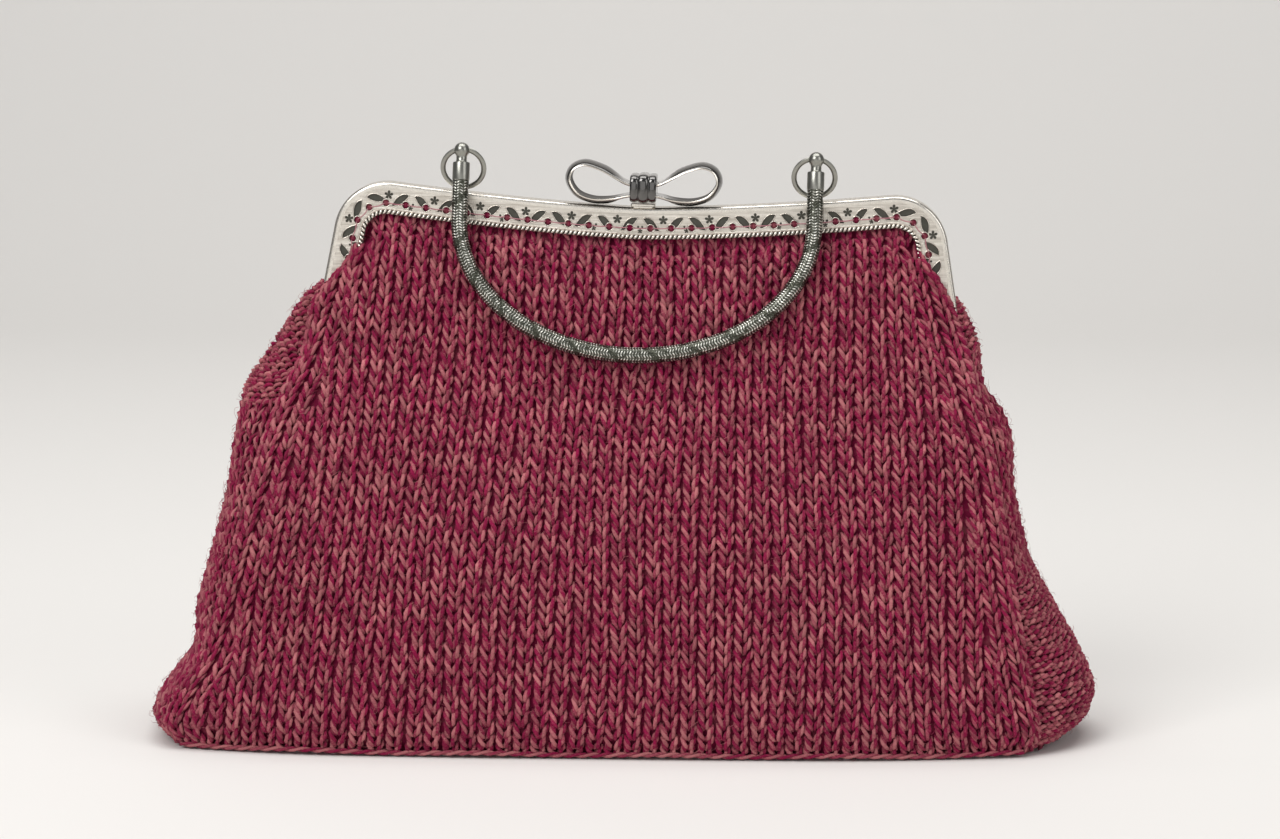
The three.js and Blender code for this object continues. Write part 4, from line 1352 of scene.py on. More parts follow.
PETALS = np.stack([petal_radius * np.cos(petal_line), -petal_radius * np.sin(petal_line)], -1)
FLOWER = PETALS + np.array([0, FLOWER_INSET])
BUD = BUD_SHARE * PETALS + np.array([0, BUD_INSET])
HOLE = np.stack([HOLE_RADIUS * np.cos(circle), HOLE_INSET - HOLE_RADIUS * np.sin(circle)], -1)
DOT = np.stack([DOT_RADIUS * np.cos(circle), -DOT_RADIUS * np.sin(circle)], -1)[::2]
arch_stops = stops_along(MID_BAND, VINE_PERIOD, ARCH_REACH)
flower_stops = stops_along(MID_BAND, VINE_PERIOD, FLOWER_REACH, 0.5)
hole_stops = stops_along(MID_BAND, HOLE_PITCH, VINE_REACH, 0.5)
print("arches:", len(arch_stops), "flowers:", len(flower_stops), "holes:", len(hole_stops))


# %% Cutters for the openings
def on_band(stop, outline, depth):
    """Points at one depth on the band near a stop, from an outline of (along, inset) points."""
    along, inset = outline.T
    x = stop[0] + along * math.cos(stop[2]) + inset * math.sin(stop[2])
    z = stop[1] + along * math.sin(stop[2]) - inset * math.cos(stop[2])
    return np.stack([x, np.full_like(x, -depth), z], -1)


def prism(stop, outline):
    """Points and faces of a cutter through the band, from an outline of (along, inset) points."""
    after = np.roll(outline, -1, 0)
    turning = np.sum(outline[:, 0] * after[:, 1] - outline[:, 1] * after[:, 0])
    outline = outline if turning > 0 else outline[::-1]
    rings = [on_band(stop, outline, depth) for depth in (CUT_FRONT, CUT_BACK)]
    count = len(outline)
    sides = [(k, (k + 1) % count, count + (k + 1) % count, count + k) for k in range(count)]
    caps = [tuple(range(count))[::-1], tuple(range(count, 2 * count))]
    return np.concatenate(rings), sides + caps


arch_openings = [LEAF, LEAF * MIRROR, BUD] + [DOT + place for place in DOT_PLACES]
vine_cutters = [prism(stop, opening) for stop in arch_stops for opening in arch_openings]
vine_cutters += [prism(stop, FLOWER) for stop in flower_stops]
hole_cutters = [prism(stop, HOLE) for stop in hole_stops]
print("openings in the vine:", len(vine_cutters))


def join_shapes(shapes):
    """Points and faces of several shapes as one."""
    points, faces, start = [], [], 0
    for shape_points, shape_faces in shapes:
        points.append(np.asarray(shape_points, float))
        faces.extend([[start + index for index in face] for face in shape_faces])
        start += len(shape_points)
    return np.concatenate(points), faces


# %% Cut the band
FACE_START = 1.9
FACE_END = 8.9
FACE_THICKNESS = 0.5
LAYER_GAP = 0.02
FACE_SECTION = [
    # inset, depth
    (FACE_START, FACE_DEPTH),
    (FACE_END - 0.75, FACE_DEPTH),
    (FACE_END - 0.6, FACE_DEPTH + 0.14),
    (FACE_END - 0.4, FACE_DEPTH + 0.16),
    (FACE_END - 0.2, FACE_DEPTH + 0.04),
    (FACE_END, FACE_DEPTH - 0.1),
    (FACE_END, FACE_DEPTH - FACE_THICKNESS),
    (FACE_START, FACE_DEPTH - FACE_THICKNESS),
]
CARRIER_SECTION = [
    (FACE_START, FACE_DEPTH - FACE_THICKNESS - LAYER_GAP),
    (BAND, FACE_DEPTH - FACE_THICKNESS - LAYER_GAP),
    (BAND, FACE_DEPTH - PLATE),
    (FACE_START, FACE_DEPTH - PLATE),
]


def cut_away(piece, cutters):
    """Cuts closed shapes out of a piece, and leaves its mesh plain with no modifier."""
    points, faces = join_shapes(cutters)
    mesh = bpy.data.meshes.new("cutter")
    mesh.from_pydata((on_frame(points) * MM).tolist(), [], faces)
    cutter = bpy.data.objects.new("cutter", mesh)
    bpy.context.scene.collection.objects.link(cutter)
    cut = piece.modifiers.new("cut", "BOOLEAN")
    cut.operation = "DIFFERENCE"
    cut.solver = "EXACT"
    cut.use_self = True
    cut.object = cutter
    bpy.context.view_layer.update()
    shaped = bpy.data.meshes.new_from_object(piece.evaluated_get(bpy.context.evaluated_depsgraph_get()))
    piece.modifiers.clear()
    piece.data = shaped
    bpy.data.objects.remove(cutter)
    made[piece.name] = sum(len(polygon.vertices) - 2 for polygon in shaped.polygons)


layers = [
    # piece, section, material, what is cut out of it
    ("frame_face", FACE_SECTION, satin_silver, vine_cutters + hole_cutters),
    ("frame_carrier", CARRIER_SECTION, dark_brass, hole_cutters),
]
for name, section, material, cutters in layers:
    points, faces = sweep_section(FRAME_STOPS, section)
    front = make_solid(
        "front_" + name, on_frame(points), faces, material, "bag", "satin_silver", ["front_frame"],
    )
    cut_away(front, cutters)
    front.data.set_sharp_from_angle(angle=SHARP_ANGLE)
    points = np.array([vertex.co for vertex in front.data.vertices]) / MM * np.array([1, -1, 1])
    faces = [list(polygon.vertices)[::-1] for polygon in front.data.polygons]
    back = make_piece("back_" + name, points, faces, material, "bag", "satin_silver", ["back_frame"])
    back.data.set_sharp_from_angle(angle=SHARP_ANGLE)
    print("pierced", name, made["front_" + name], "triangles")

# %% Bright lips round the openings
LIP_RADIUS = 0.2
LIP_RISE = 0.6
LIP_SIDES = 4
LIP_SUNK = 1.2
HALVES = [
    # side, start of the name, CAD node
    (-1, "front", "front_frame"),
    (1, "back", "back_frame"),
]

hole_centres = np.concatenate([on_band(stop, np.array([[0, HOLE_INSET]]), FACE_DEPTH) for stop in hole_stops])
leaf_after = np.roll(LEAF, -1, 0)
LEAF_LINE = np.stack([LEAF + share * (leaf_after - LEAF) for share in (0.0, 0.33, 0.67)], 1).reshape(-1, 2)


def lip(stop, outline, clear):
    """A low ridge round an opening, on the same outline as its cutter, sunk where it would cross a hole."""
    ahead = np.roll(outline, -1, 0) - np.roll(outline, 1, 0)
    ahead = ahead / np.linalg.norm(ahead, axis=1, keepdims=True)
    beside = np.stack([ahead[:, 1], -ahead[:, 0]], -1)
    lines = []
    for turn in full_turn(LIP_SIDES):
        depth = FACE_DEPTH + LIP_RISE * LIP_RADIUS * math.sin(turn)
        line = on_band(stop, outline + LIP_RADIUS * math.cos(turn) * beside, depth)
        distance = np.linalg.norm(line[:, None, ::2] - hole_centres[None, :, ::2], axis=2).min(axis=1)
        line[:, 1] += np.where(distance < clear, LIP_SUNK, 0)
        lines.append(line)
    rings = np.stack(lines, 1)
    rings = np.concatenate([rings, rings[:1]])
    return rings.reshape(-1, 3), tube_faces(1, len(rings), LIP_SIDES).tolist()


lips = [lip(stop, HOLE, 0) for stop in hole_stops]
for stop in arch_stops:
    lips.append(lip(stop, LEAF_LINE, HOLE_RADIUS))
    lips.append(lip(stop, LEAF_LINE * MIRROR, HOLE_RADIUS))
lip_points, lip_faces = join_shapes(lips)
for side, name, node in HALVES:
    turned = lip_points * np.array([1, -side, 1])
    make_piece(
        name + "_frame_lips", on_frame(turned), lip_faces, burnished_silver, "bag", "satin_silver", [node],
    )
print("lips:", len(lips), "on each half")

# %% [markdown]
# Rim and milled edge
#
# The outer rim is rolled over, so it is smooth and carries one long highlight. The inner edge is milled like
# a rope. The rim is a sweep. The rope is a row of small slanting lozenges on the dark brass layer.

# %% Rolled rim and rope edge
RIM_SECTION = [
    # inset, depth
    (0.0, HALF_GAP),
    (0.0, 3.3),
    (0.06, 3.75),
    (0.22, 4.15),
    (0.5, 4.42),
    (0.85, 4.56),
    (1.2, 4.58),
    (FACE_START + 0.05, 4.56),
    (FACE_START + 0.05, FACE_DEPTH - FACE_THICKNESS),
    (1.0, FACE_DEPTH - PLATE),
    (1.0, HALF_GAP),
]
ROPE_INSET = 9.45
ROPE_REACH = 150.0
ROPE_ABOVE_END = 1
ROPE_SUNK = 0.1
ROPE_PITCH = 1.4
ROPE_SLANT = math.radians(52)
ROPE_RADIUS = 0.52
ROPE_HALF_LENGTH = 0.95
ROPE_SWELL = [
    # share of the half length, fullness
    (-1.0, 0.2),
    (-0.6, 0.8),
    (0.0, 1.0),
    (0.6, 0.8),
    (1.0, 0.2),
]
ROPE_SIDES = 6


def rope_edge(side):
    """Lozenges along the band's inner edge, on the front for side -1 and on the back for side 1."""
    stops = stops_along(ROPE_INSET, ROPE_PITCH, ROPE_REACH)
    stops = stops[stops[:, 1] > -ARM_DROP + ROPE_ABOVE_END]
    centres = band_point(stops, ROPE_INSET, side * (FACE_DEPTH - ROPE_SUNK))
    lean = stops[:, 2] + ROPE_SLANT
    axis = np.stack([np.cos(lean), np.zeros_like(lean), np.sin(lean)], -1)
    beside = np.stack([-np.sin(lean), np.zeros_like(lean), np.cos(lean)], -1)
    angles = full_turn(ROPE_SIDES)
    ring = np.cos(angles)[None, :, None] * beside[:, None, :]
    ring = ring + np.sin(angles)[None, :, None] * np.array([0, 1, 0])
    rings = []
    for share, fullness in ROPE_SWELL:
        middle = centres[:, None, :] + share * ROPE_HALF_LENGTH * axis[:, None, :]
        rings.append(middle + fullness * ROPE_RADIUS * ring)
    points = np.stack(rings, 1).reshape(-1, 3)
    return points, tube_faces(len(stops), len(ROPE_SWELL), ROPE_SIDES).tolist()


rim_points, rim_faces = sweep_section(FRAME_STOPS, RIM_SECTION)
for side, name, node in HALVES:
    turned = rim_points * np.array([1, -side, 1])
    make_solid(
        name + "_frame_rim", on_frame(turned), rim_faces, burnished_silver, "bag", "satin_silver", [node],
    )
    rope_points, rope_faces = rope_edge(side)
    make_piece(
        name + "_frame_rope", on_frame(rope_points), rope_faces, burnished_silver,
        "bag", "satin_silver", [node],
    )
    print(name, "rim and rope:", made[name + "_frame_rim"] + made[name + "_frame_rope"], "triangles")

# %% [markdown]
# Wire, rings and staples
#
# Wire is a small ellipse swept along a path. Two staples stand on the front rim, and a plain ring stands in
# each. The rings ride on their own body, so that they swing with the handle.

# %% Wire pieces
HANDLE_CENTRE_X = -0.9
HANDLE_HALF_SPAN = 56.7
RING_RADIUS = 6.55
RING_WIDTH = 0.85
RING_THICKNESS = 0.55
RING_INSET = 0.4
RING_LEAN = math.radians(19)
RING_SLACK = 0.3
STAPLE_Y = -2.4
STAPLE_RADIUS = 1.7
STAPLE_WIRE = 0.5
STAPLE_AXIS_ABOVE = 1.5
STAPLE_SUNK = 0.5
WIRE_SIDES = 12
ring_axis_z = float(top_rise(HANDLE_HALF_SPAN)) + STAPLE_AXIS_ABOVE
ring_places = [
    HANDLE_CENTRE_X - HANDLE_HALF_SPAN + RING_INSET,
    HANDLE_CENTRE_X + HANDLE_HALF_SPAN - RING_INSET,
]


def wire_along(path, radius, normal, sides=WIRE_SIDES, thickness=None):
    """A wire along a flat path, whose plane has the given normal; it is round unless it has a thickness."""
    path = np.asarray(path, float)
    ahead = np.gradient(path, axis=0)
    ahead = ahead / np.linalg.norm(ahead, axis=1, keepdims=True)
    beside = np.cross(ahead, normal)
    angles = full_turn(sides)
    across = radius * np.cos(angles)[None, :, None] * beside[:, None, :]
    through = (thickness or radius) * np.sin(angles)[None, :, None] * np.asarray(normal, float)
    return capped_tube(path[:, None, :] + across + through)


def staple(x):
    foot = float(top_rise(x)) - STAPLE_SUNK
    legs = np.linspace(foot, ring_axis_z, 4)
    path = [(x, STAPLE_Y - STAPLE_RADIUS, z) for z in legs[:-1]]
    for turn in np.linspace(math.pi, 0, 13):
        arch_y = STAPLE_Y + STAPLE_RADIUS * math.cos(turn)
        path.append((x, arch_y, ring_axis_z + STAPLE_RADIUS * math.sin(turn)))
    path += [(x, STAPLE_Y + STAPLE_RADIUS, z) for z in legs[-2::-1]]
    return wire_along(path, STAPLE_WIRE, (1.0, 0.0, 0.0))


staple_points, staple_faces = join_shapes([staple(x) for x in ring_places])
make_solid(
    "ring_staples", on_frame(staple_points), staple_faces, burnished_silver,
    "bag", "satin_silver", ["front_frame"],
)

for x, name in zip(ring_places, ("ring_left", "ring_right")):
    turn = np.linspace(0, 2 * math.pi, 73)
    flat = np.stack([RING_RADIUS * np.sin(turn), 0 * turn, RING_RADIUS * (1 - np.cos(turn))], -1)
    ring_points, ring_faces = wire_along(flat, RING_WIDTH, (0.0, 1.0, 0.0), thickness=RING_THICKNESS)
    lean_y = ring_points[:, 1] * math.cos(RING_LEAN) - ring_points[:, 2] * math.sin(RING_LEAN)
    lean_z = ring_points[:, 1] * math.sin(RING_LEAN) + ring_points[:, 2] * math.cos(RING_LEAN)
    ring_points = np.stack([x + ring_points[:, 0], STAPLE_Y + lean_y, ring_axis_z + lean_z], -1)
    make_solid(
        name + "_wire", on_frame(ring_points), ring_faces, satin_nickel, "rings", "satin_silver", [name],
    )
print("rings at", [round(x, 1) for x in ring_places], "mm along the frame")

# %% [markdown]
# The bow
#
# The clasp is a bow bent from one polished strip: it runs under the knot, round one loop, back through the
# knot and round the other. A closed curve through a few points gives its middle line, and the strip is
# crowned like a measuring tape where it is free. The knot is a sleeve with three round ribs.

# %% Ribbon of the bow
BOW_X = 0.7
BOW_Y = -0.8
RIBBON_WIDTH = 12.0
RIBBON_THICKNESS = 0.9
RIBBON_CROWN = 1.3
RIBBON_FREE = (5, 12)
RIBBON_STEPS = 150
RIBBON_COLUMNS = 11
EDGE_MARGIN = 0.03
HIGHLIGHT_EDGE_SHARE = 0.485
EDGE_ROUND = [
    # share of the width, share of half the thickness
    (0.49, 0.6),
    (0.5, 0.0),
    (0.49, -0.6),
]
CURVE_STEPS = 24
WELD = 0.001
LOOP = np.array([
    # along, up
    (0, 3.9),
    (4.4, 3.8),
    (10, 2.7),
    (16.4, 2.6),
    (21.2, 4.5),
    (23.6, 8.6),
    (22.5, 11.7),
    (19.2, 13.2),
    (13.9, 11.9),
    (9.8, 9.9),
    (4.7, 7.5),
    (0, 7),
])


def closed_curve(points, steps):
    """Equal steps along a smooth closed curve through the points, with knots spaced as the points are."""
    count = len(points)
    fine = []
    for k in range(count):
        p = [points[(k + j - 1) % count] for j in range(4)]
        gaps = [math.sqrt(np.linalg.norm(p[j + 1] - p[j])) for j in range(3)]
        t = np.concatenate([[0], np.cumsum(gaps)])
        at = np.linspace(t[1], t[2], CURVE_STEPS, endpoint=False)[:, None]
        a = [(t[j + 1] - at) / gaps[j] * p[j] + (at - t[j]) / gaps[j] * p[j + 1] for j in range(3)]
        b = []
        for j in range(2):
            span = t[j + 2] - t[j]
            b.append((t[j + 2] - at) / span * a[j] + (at - t[j]) / span * a[j + 1])
        fine.append((t[2] - at) / gaps[1] * b[0] + (at - t[1]) / gaps[1] * b[1])
    fine = np.concatenate(fine + [fine[0][:1]])
    run = run_along(fine)
    wanted = np.linspace(0, run[-1], steps, endpoint=False)
    return np.stack([np.interp(wanted, run, fine[:, k]) for k in range(2)], -1)


line = closed_curve(np.concatenate([LOOP, LOOP[-2:0:-1] * MIRROR]), RIBBON_STEPS)
ahead = np.roll(line, -1, 0) - np.roll(line, 1, 0)
ahead = ahead / np.linalg.norm(ahead, axis=1, keepdims=True)
outward = np.stack([ahead[:, 1], -ahead[:, 0]], -1)
crown = RIBBON_CROWN * smoothstep(np.abs(line[:, 0]), *RIBBON_FREE)
half = RIBBON_THICKNESS / 2
shares = np.linspace(-0.5 + EDGE_MARGIN, 0.5 - EDGE_MARGIN, RIBBON_COLUMNS)
section = [(share, half) for share in shares]
section += [(share, rise * half) for share, rise in EDGE_ROUND]
section += [(share, -half) for share in shares[::-1]]
section += [(-share, -rise * half) for share, rise in EDGE_ROUND]
ribbon_rings = []
for share, offset in section:
    lift = offset + crown * (1 - 4 * share * share)
    spot = line + lift[:, None] * outward
    y = np.full(len(spot), BOW_Y + share * RIBBON_WIDTH)
    ribbon_rings.append(np.stack([BOW_X + spot[:, 0], y, spot[:, 1]], -1))
ribbon_points = np.stack(ribbon_rings, 1)
ribbon_points = np.concatenate([ribbon_points, ribbon_points[:1]]).reshape(-1, 3)
ribbon_faces = tube_faces(1, RIBBON_STEPS + 1, len(section)).tolist()
ribbon = make_piece(
    "bow_ribbon_strip", on_frame(ribbon_points), ribbon_faces, dark_painted_nickel,
    "bag", "polished_metal", ["bow_ribbon"],
)
weld = bmesh.new()
weld.from_mesh(ribbon.data)
bmesh.ops.remove_doubles(weld, verts=weld.verts, dist=WELD * MM)
weld.to_mesh(ribbon.data)
weld.free()
tidy_solid(ribbon)

# The cut edges of the strip get the pale burnished silver: a painted highlight for the bright line along them
ribbon.data.materials.append(burnished_silver)
for polygon in ribbon.data.polygons:
    if abs(polygon.center.y - BOW_Y * MM) > HIGHLIGHT_EDGE_SHARE * RIBBON_WIDTH * MM:
        polygon.material_index = 1
print("bow strip:", round(float(run_along(line)[-1])), "mm round")

# %% Knot and base plate of the bow
KNOT_CENTRE = 6.2
KNOT_HALF_WIDTH = 4.2
KNOT_DEPTH = 14.8
KNOT_CORNER = 2.4
KNOT_RIBS = [
    # middle, half width, rise
    (-2.95, 1.25, 0.42),
    (0.0, 1.7, 0.68),
    (2.95, 1.25, 0.42),
]
KNOT_WAIST = 3.95
KNOT_EDGE = 0.5
KNOT_STATIONS = 57
BOX_CORNER = 0.5
BOX_SOFTNESS = 0.18
STEM_BELOW_PLATE = 0.3
CLASP_PLATE = {"width": 7.8, "depth": 8.6, "height": 0.9, "bottom": 0.35}
CLASP_STEM = {"width": 6.6, "depth": 3.4, "bottom": -0.4}


def rounded_outline(half_y, half_z, corner, steps=7):
    line = []
    for centre_y, centre_z, start in ((1, 1, 0.0), (-1, 1, 0.5), (-1, -1, 1.0), (1, -1, 1.5)):
        for angle in np.linspace(start * math.pi, (start + 0.5) * math.pi, steps):
            y = centre_y * (half_y - corner) + corner * math.cos(angle)
            line.append((y, centre_z * (half_z - corner) + corner * math.sin(angle)))
    return np.array(line)


def rib_rise(station):
    """How far the ribs stand out at a place along the knot."""
    rises = []
    for middle, half_width, rise in KNOT_RIBS:
        share = (station - middle) / half_width
        rises.append(rise * math.sqrt(max(0.0, 1 - share ** 2)))
    return max(rises)


knot_rings = []
for station in np.linspace(-KNOT_HALF_WIDTH, KNOT_HALF_WIDTH, KNOT_STATIONS):
    rise = rib_rise(station)
    outline = rounded_outline(KNOT_DEPTH / 2 - KNOT_EDGE + rise, KNOT_WAIST + rise, KNOT_CORNER)
    x = np.full(len(outline), BOW_X + station)
    knot_rings.append(np.column_stack([x, BOW_Y + outline[:, 0], KNOT_CENTRE + outline[:, 1]]))
knot_points, knot_faces = capped_tube(knot_rings)
make_solid(
    "bow_knot_sleeve", on_frame(knot_points), knot_faces, dark_painted_nickel,
    "bag", "polished_metal", ["bow_knot"],
)


def softened_box(width, depth, bottom, top, middle_y):
    """A box with softened upright and level edges, as rings of one rounded outline."""
    levels = [
        # height, inset
        (bottom, BOX_SOFTNESS),
        (bottom + BOX_SOFTNESS, 0.0),
        (top - BOX_SOFTNESS, 0.0),
        (top, BOX_SOFTNESS),
    ]
    rings = []
    for level, inset in levels:
        outline = rounded_outline(width / 2 - inset, depth / 2 - inset, BOX_CORNER, 4)
        z = np.full(len(outline), level)
        rings.append(np.column_stack([BOW_X + outline[:, 0], middle_y + outline[:, 1], z]))
    return capped_tube(rings)


plate_top = CLASP_PLATE["bottom"] + CLASP_PLATE["height"]
stem_top = plate_top - STEM_BELOW_PLATE
clasp_points, clasp_faces = join_shapes([
    softened_box(CLASP_PLATE["width"], CLASP_PLATE["depth"], CLASP_PLATE["bottom"], plate_top, 0.0),
    softened_box(CLASP_STEM["width"], CLASP_STEM["depth"], CLASP_STEM["bottom"], stem_top, -FACE_DEPTH / 2),
])
make_solid(
    "clasp_base", on_frame(clasp_points), clasp_faces, burnished_silver,
    "bag", "satin_silver", ["front_frame"],
)
print("knot:", made["bow_knot_sleeve"], "triangles, clasp:", made["clasp_base"])

# %% [markdown]
# Sewing thread
#
# The knit is sewn in through the round holes, and a thin rose thread shows on the band from hole to hole.

# %% Thread between the holes
THREAD_RADIUS = 0.17
THREAD_LIFT = 0.1
THREAD_SHARES = np.linspace(0.1, 0.9, 9)
THREAD_ABOVE_HOLE = 0.25
THREAD_SAG = 0.35
THREAD_DIVE = 0.5
THREAD_SIDES = 6

# Waxed cotton: matt, a little lighter than the yarn, too thin to show its twist
thread_cotton, tree, shader = new_material("waxed_cotton_thread")
thread_colour = two_tone(tree, grain(tree, size=1.5, detail=1.0), "b98a8c", "a0606c")
tree.links.new(thread_colour, shader.inputs["Base Color"])
shader.inputs["Roughness"].default_value = 0.7

bow = np.sin(math.pi * THREAD_SHARES)
thread_inset = HOLE_INSET - THREAD_ABOVE_HOLE + THREAD_SAG * bow
thread_y = -(FACE_DEPTH + THREAD_LIFT) + THREAD_DIVE * (1 - np.minimum(1, 4 * bow))
threads = []
for first, second in zip(hole_stops[:-1], hole_stops[1:]):
    between = first + THREAD_SHARES[:, None] * (second - first)
    thread_line = band_point(between, thread_inset, thread_y)
    threads.append(wire_along(thread_line, THREAD_RADIUS, (0.0, 1.0, 0.0), THREAD_SIDES))
thread_points, thread_faces = join_shapes(threads)
make_solid("sewing_thread", on_frame(thread_points), thread_faces, thread_cotton, "bag", "knit")
print("threads:", len(threads))

# %% Stitches of yarn in the holes
STITCH_DOME = [
    # share of the hole's radius, depth
    (1.05, 3.2),
    (0.95, 3.6),
    (0.75, 3.85),
    (0.45, 4.0),
    (0.02, 4.05),
]
DOME_SIDES = 14
# The yarn seen in the holes is darkened: painted shade for the hollow of each hole
DOME_SHADE_TONE = -0.4
DOME_GRAIN = np.array([1.5, 1.5, 0.5])
DOME_BLEND = {"middle": 0.3, "spread": 0.15}

dome_turn = full_turn(DOME_SIDES)
chance = np.random.default_rng(500)
domes = []
for stop in hole_stops:
    rings = []
    for share, depth in STITCH_DOME:
        along = share * HOLE_RADIUS * np.cos(dome_turn)
        inset = HOLE_INSET + share * HOLE_RADIUS * np.sin(dome_turn)
        rings.append(on_band(stop, np.stack([along, inset], -1), depth))
    points = on_frame(np.concatenate(rings))
    blend = np.clip(chance.normal(DOME_BLEND["middle"], DOME_BLEND["spread"]), 0, 1)
    domes.append({
        "points": points,
        "faces": tube_faces(1, len(STITCH_DOME), DOME_SIDES)[:, ::-1],
        "ply": np.full(len(points), blend),
        "tone": np.full(len(points), DOME_SHADE_TONE),
        "strand": points * DOME_GRAIN,
    })
knit_piece("sewing_stitches", domes, ["front_panel"])

# %% [markdown]
# The handle
#
# The handle is a stiff bar in a fine braided metal sleeve, wound once more with a strip whose edge shows as a
# slanting seam every 13 mm. The seam is modelled as a groove, and its colour is darkened as painted shade.
# The braid is finer than a millimetre, so the material draws it from two attributes, how far a point is along
# the bar and around it, with painted highlights on its crests and painted shade between them. Turned caps
# close the ends.

# %% Braided sleeve material
HANDLE_RADIUS = 2.6
HANDLE_ROUND = 2 * math.pi * HANDLE_RADIUS
BRAIDS_ROUND = 13
BRAID_PITCH = 0.92
BRAID_SLANT = 1.3
SEAM_PITCH = 13.0

# Braided nickel wire: dark olive grey, with bright flecks that lean one way and then the other round the bar.
# The flecks are painted highlights on the crests of the braid; the dark between them is painted shade.
braided_wire, tree, shader = new_metal("braided_nickel_wire")
around_turn = maths(tree, "MULTIPLY", attribute(tree, "around"), math.pi * BRAIDS_ROUND / HANDLE_ROUND)
plait = maths(tree, "ABSOLUTE", maths(tree, "COSINE", around_turn))
lean = maths(tree, "MULTIPLY", maths(tree, "SINE", around_turn), BRAID_SLANT)
along_turn = maths(tree, "MULTIPLY_ADD", attribute(tree, "along"), 2 * math.pi / BRAID_PITCH, lean)
fleck = stretch_range(tree, maths(tree, "COSINE", along_turn), low=-0.3, high=0.8)
wire_height = maths(tree, "MULTIPLY", fleck, plait)
# Patches where the painted highlights on the braid are stronger or fainter
patchy_glint = grain(tree, size=1.5, detail=2.0)
patchy_glint = stretch_range(tree, patchy_glint, low=0.35, high=0.65, to_low=0.0, to_high=1.5)
bright = maths(tree, "MULTIPLY", wire_height, patchy_glint)
# Along the seam the braid is darkened: painted shade in the seam's groove
painted_braid_light = maths(tree, "SUBTRACT", bright, attribute(tree, "seam"), clamp=True)
tree.links.new(two_tone(tree, painted_braid_light, "4d4e45", "fffef4"), shader.inputs["Base Color"])
tree.links.new(relief(tree, wire_height, strength=0.8, depth=0.25), shader.inputs["Normal"])
shader.inputs["Roughness"].default_value = 0.3
print("braid:", BRAIDS_ROUND, "plaits round a bar of", round(HANDLE_ROUND, 1), "mm girth")

# %% Sleeve along the arch
HANDLE_STRAIGHT = 22.3
HANDLE_DROP = 42.0
HANDLE_TILT = math.radians(12)
HANDLE_START = 9.6
SLEEVE_SIDES = 40
SLEEVE_STEP = 0.6
ARCH_STOPS = 400
SEAM_GROOVE = 0.24
SEAM_SPREAD = 0.06

hang = 2 * RING_RADIUS - RING_SLACK
handle_y = STAPLE_Y - hang * math.sin(RING_LEAN)
handle_z = ring_axis_z + hang * math.cos(RING_LEAN)


def on_handle(points):
    """Turns points from the handle's own axes, hung from its ring ends, to the bag's."""
    x, y, z = np.moveaxis(np.asarray(points, float), -1, 0)
    tilt_y = y * math.cos(HANDLE_TILT) + z * math.sin(HANDLE_TILT)
    tilt_z = z * math.cos(HANDLE_TILT) - y * math.sin(HANDLE_TILT)
    return on_frame(np.stack([HANDLE_CENTRE_X + x, handle_y + tilt_y, handle_z + tilt_z], -1))


arch = np.linspace(math.pi, 2 * math.pi, ARCH_STOPS)
arch_line = np.stack([HANDLE_HALF_SPAN * np.cos(arch), HANDLE_DROP * np.sin(arch) - HANDLE_STRAIGHT], -1)
left_end = np.array([[-HANDLE_HALF_SPAN, -HANDLE_START]])
right_end = np.array([[HANDLE_HALF_SPAN, -HANDLE_START]])
bar_line = np.concatenate([left_end, arch_line, right_end])
bar_run = run_along(bar_line)
sleeve_run = np.arange(0, bar_run[-1], SLEEVE_STEP)
sleeve_line = np.stack([np.interp(sleeve_run, bar_run, bar_line[:, k]) for k in range(2)], -1)
forward = np.gradient(sleeve_line, axis=0)
forward = forward / np.linalg.norm(forward, axis=1, keepdims=True)
inner_side = np.stack([-forward[:, 1], forward[:, 0]], -1)
sleeve_turn = np.linspace(0, 2 * math.pi, SLEEVE_SIDES + 1) + math.pi / 2
sleeve_around = HANDLE_RADIUS * (sleeve_turn - sleeve_turn[0])
seam_phase = sleeve_run[:, None] / SEAM_PITCH + sleeve_around[None, :] / HANDLE_ROUND
seam_gap = np.abs(seam_phase - np.round(seam_phase))
seam_share = np.exp(-(seam_gap / SEAM_SPREAD) ** 2)
sleeve_radius = HANDLE_RADIUS - SEAM_GROOVE * seam_share
sideways = sleeve_radius * np.cos(sleeve_turn)[None, :]
sleeve_points = np.stack([
    sleeve_line[:, :1] + sideways * inner_side[:, :1],
    sleeve_radius * np.sin(sleeve_turn)[None, :],
    sleeve_line[:, 1:] + sideways * inner_side[:, 1:],
], -1)
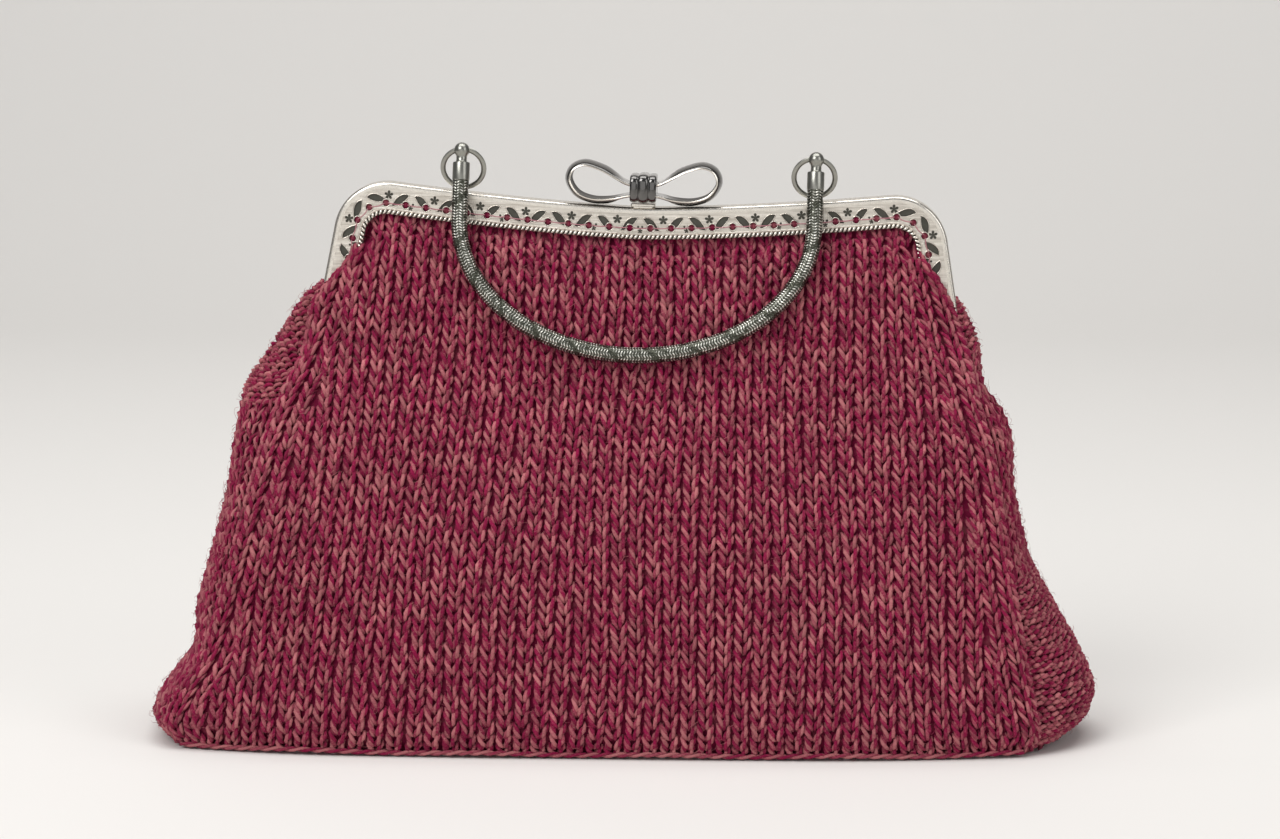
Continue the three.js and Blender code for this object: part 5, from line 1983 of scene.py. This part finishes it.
row, column = np.meshgrid(np.arange(len(sleeve_run) - 1), np.arange(SLEEVE_SIDES), indexing="ij")
first = row * (SLEEVE_SIDES + 1) + column
second = first + SLEEVE_SIDES + 1
sleeve_faces = np.stack([first, second, second + 1, first + 1], -1).reshape(-1, 4)
sleeve_attributes = {
    "along": np.broadcast_to(sleeve_run[:, None], seam_phase.shape).ravel(),
    "around": np.broadcast_to(sleeve_around[None, :], seam_phase.shape).ravel(),
    "seam": seam_share.ravel(),
}
make_piece(
    "handle_sleeve", on_handle(sleeve_points.reshape(-1, 3)), sleeve_faces.tolist(), braided_wire,
    "handle", "braided_sleeve", ["handle_bar"], sleeve_attributes,
)
print("handle sleeve:", round(float(sleeve_run[-1])), "mm along")

# %% Turned end caps
CAP_LATHE = [
    # radius, height
    (0.02, 2.5),
    (0.75, 2.38),
    (1.4, 2.07),
    (1.95, 1.56),
    (2.32, 0.93),
    (2.49, 0.2),
    (2.44, -0.55),
    (2.2, -1.2),
    (1.84, -1.7),
    (1.7, -2.1),
    (1.7, -3.4),
    (1.9, -3.75),
    (2.35, -3.9),
    (2.68, -4.05),
    (2.75, -4.3),
    (2.75, -9.4),
    (2.68, -9.7),
    (2.5, -9.8),
]
CAP_SIDES = 36

cap_turn = full_turn(CAP_SIDES)
for side, name in ((-1, "end_cap_left"), (1, "end_cap_right")):
    rings = []
    for radius, height in CAP_LATHE:
        x = side * HANDLE_HALF_SPAN + radius * np.cos(cap_turn)
        rings.append(np.stack([x, radius * np.sin(cap_turn), np.full(CAP_SIDES, height)], -1))
    cap_points, cap_faces = capped_tube(rings)
    make_solid(
        name + "_turned", on_handle(cap_points), cap_faces, satin_nickel, "handle", "satin_silver", [name],
    )
    print(name, made[name + "_turned"], "triangles")

# %% Hinge pins
for name in ("hinge_pin_left", "hinge_pin_right"):
    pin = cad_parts[name]
    pin.data.materials.clear()
    pin.data.materials.append(burnished_silver)
    print(name, "keeps its CAD shape")

# %% [markdown]
# Finish
#
# The number of triangles in all the new pieces is printed.

# %% Triangles in all
print("triangles in all:", sum(made.values()))
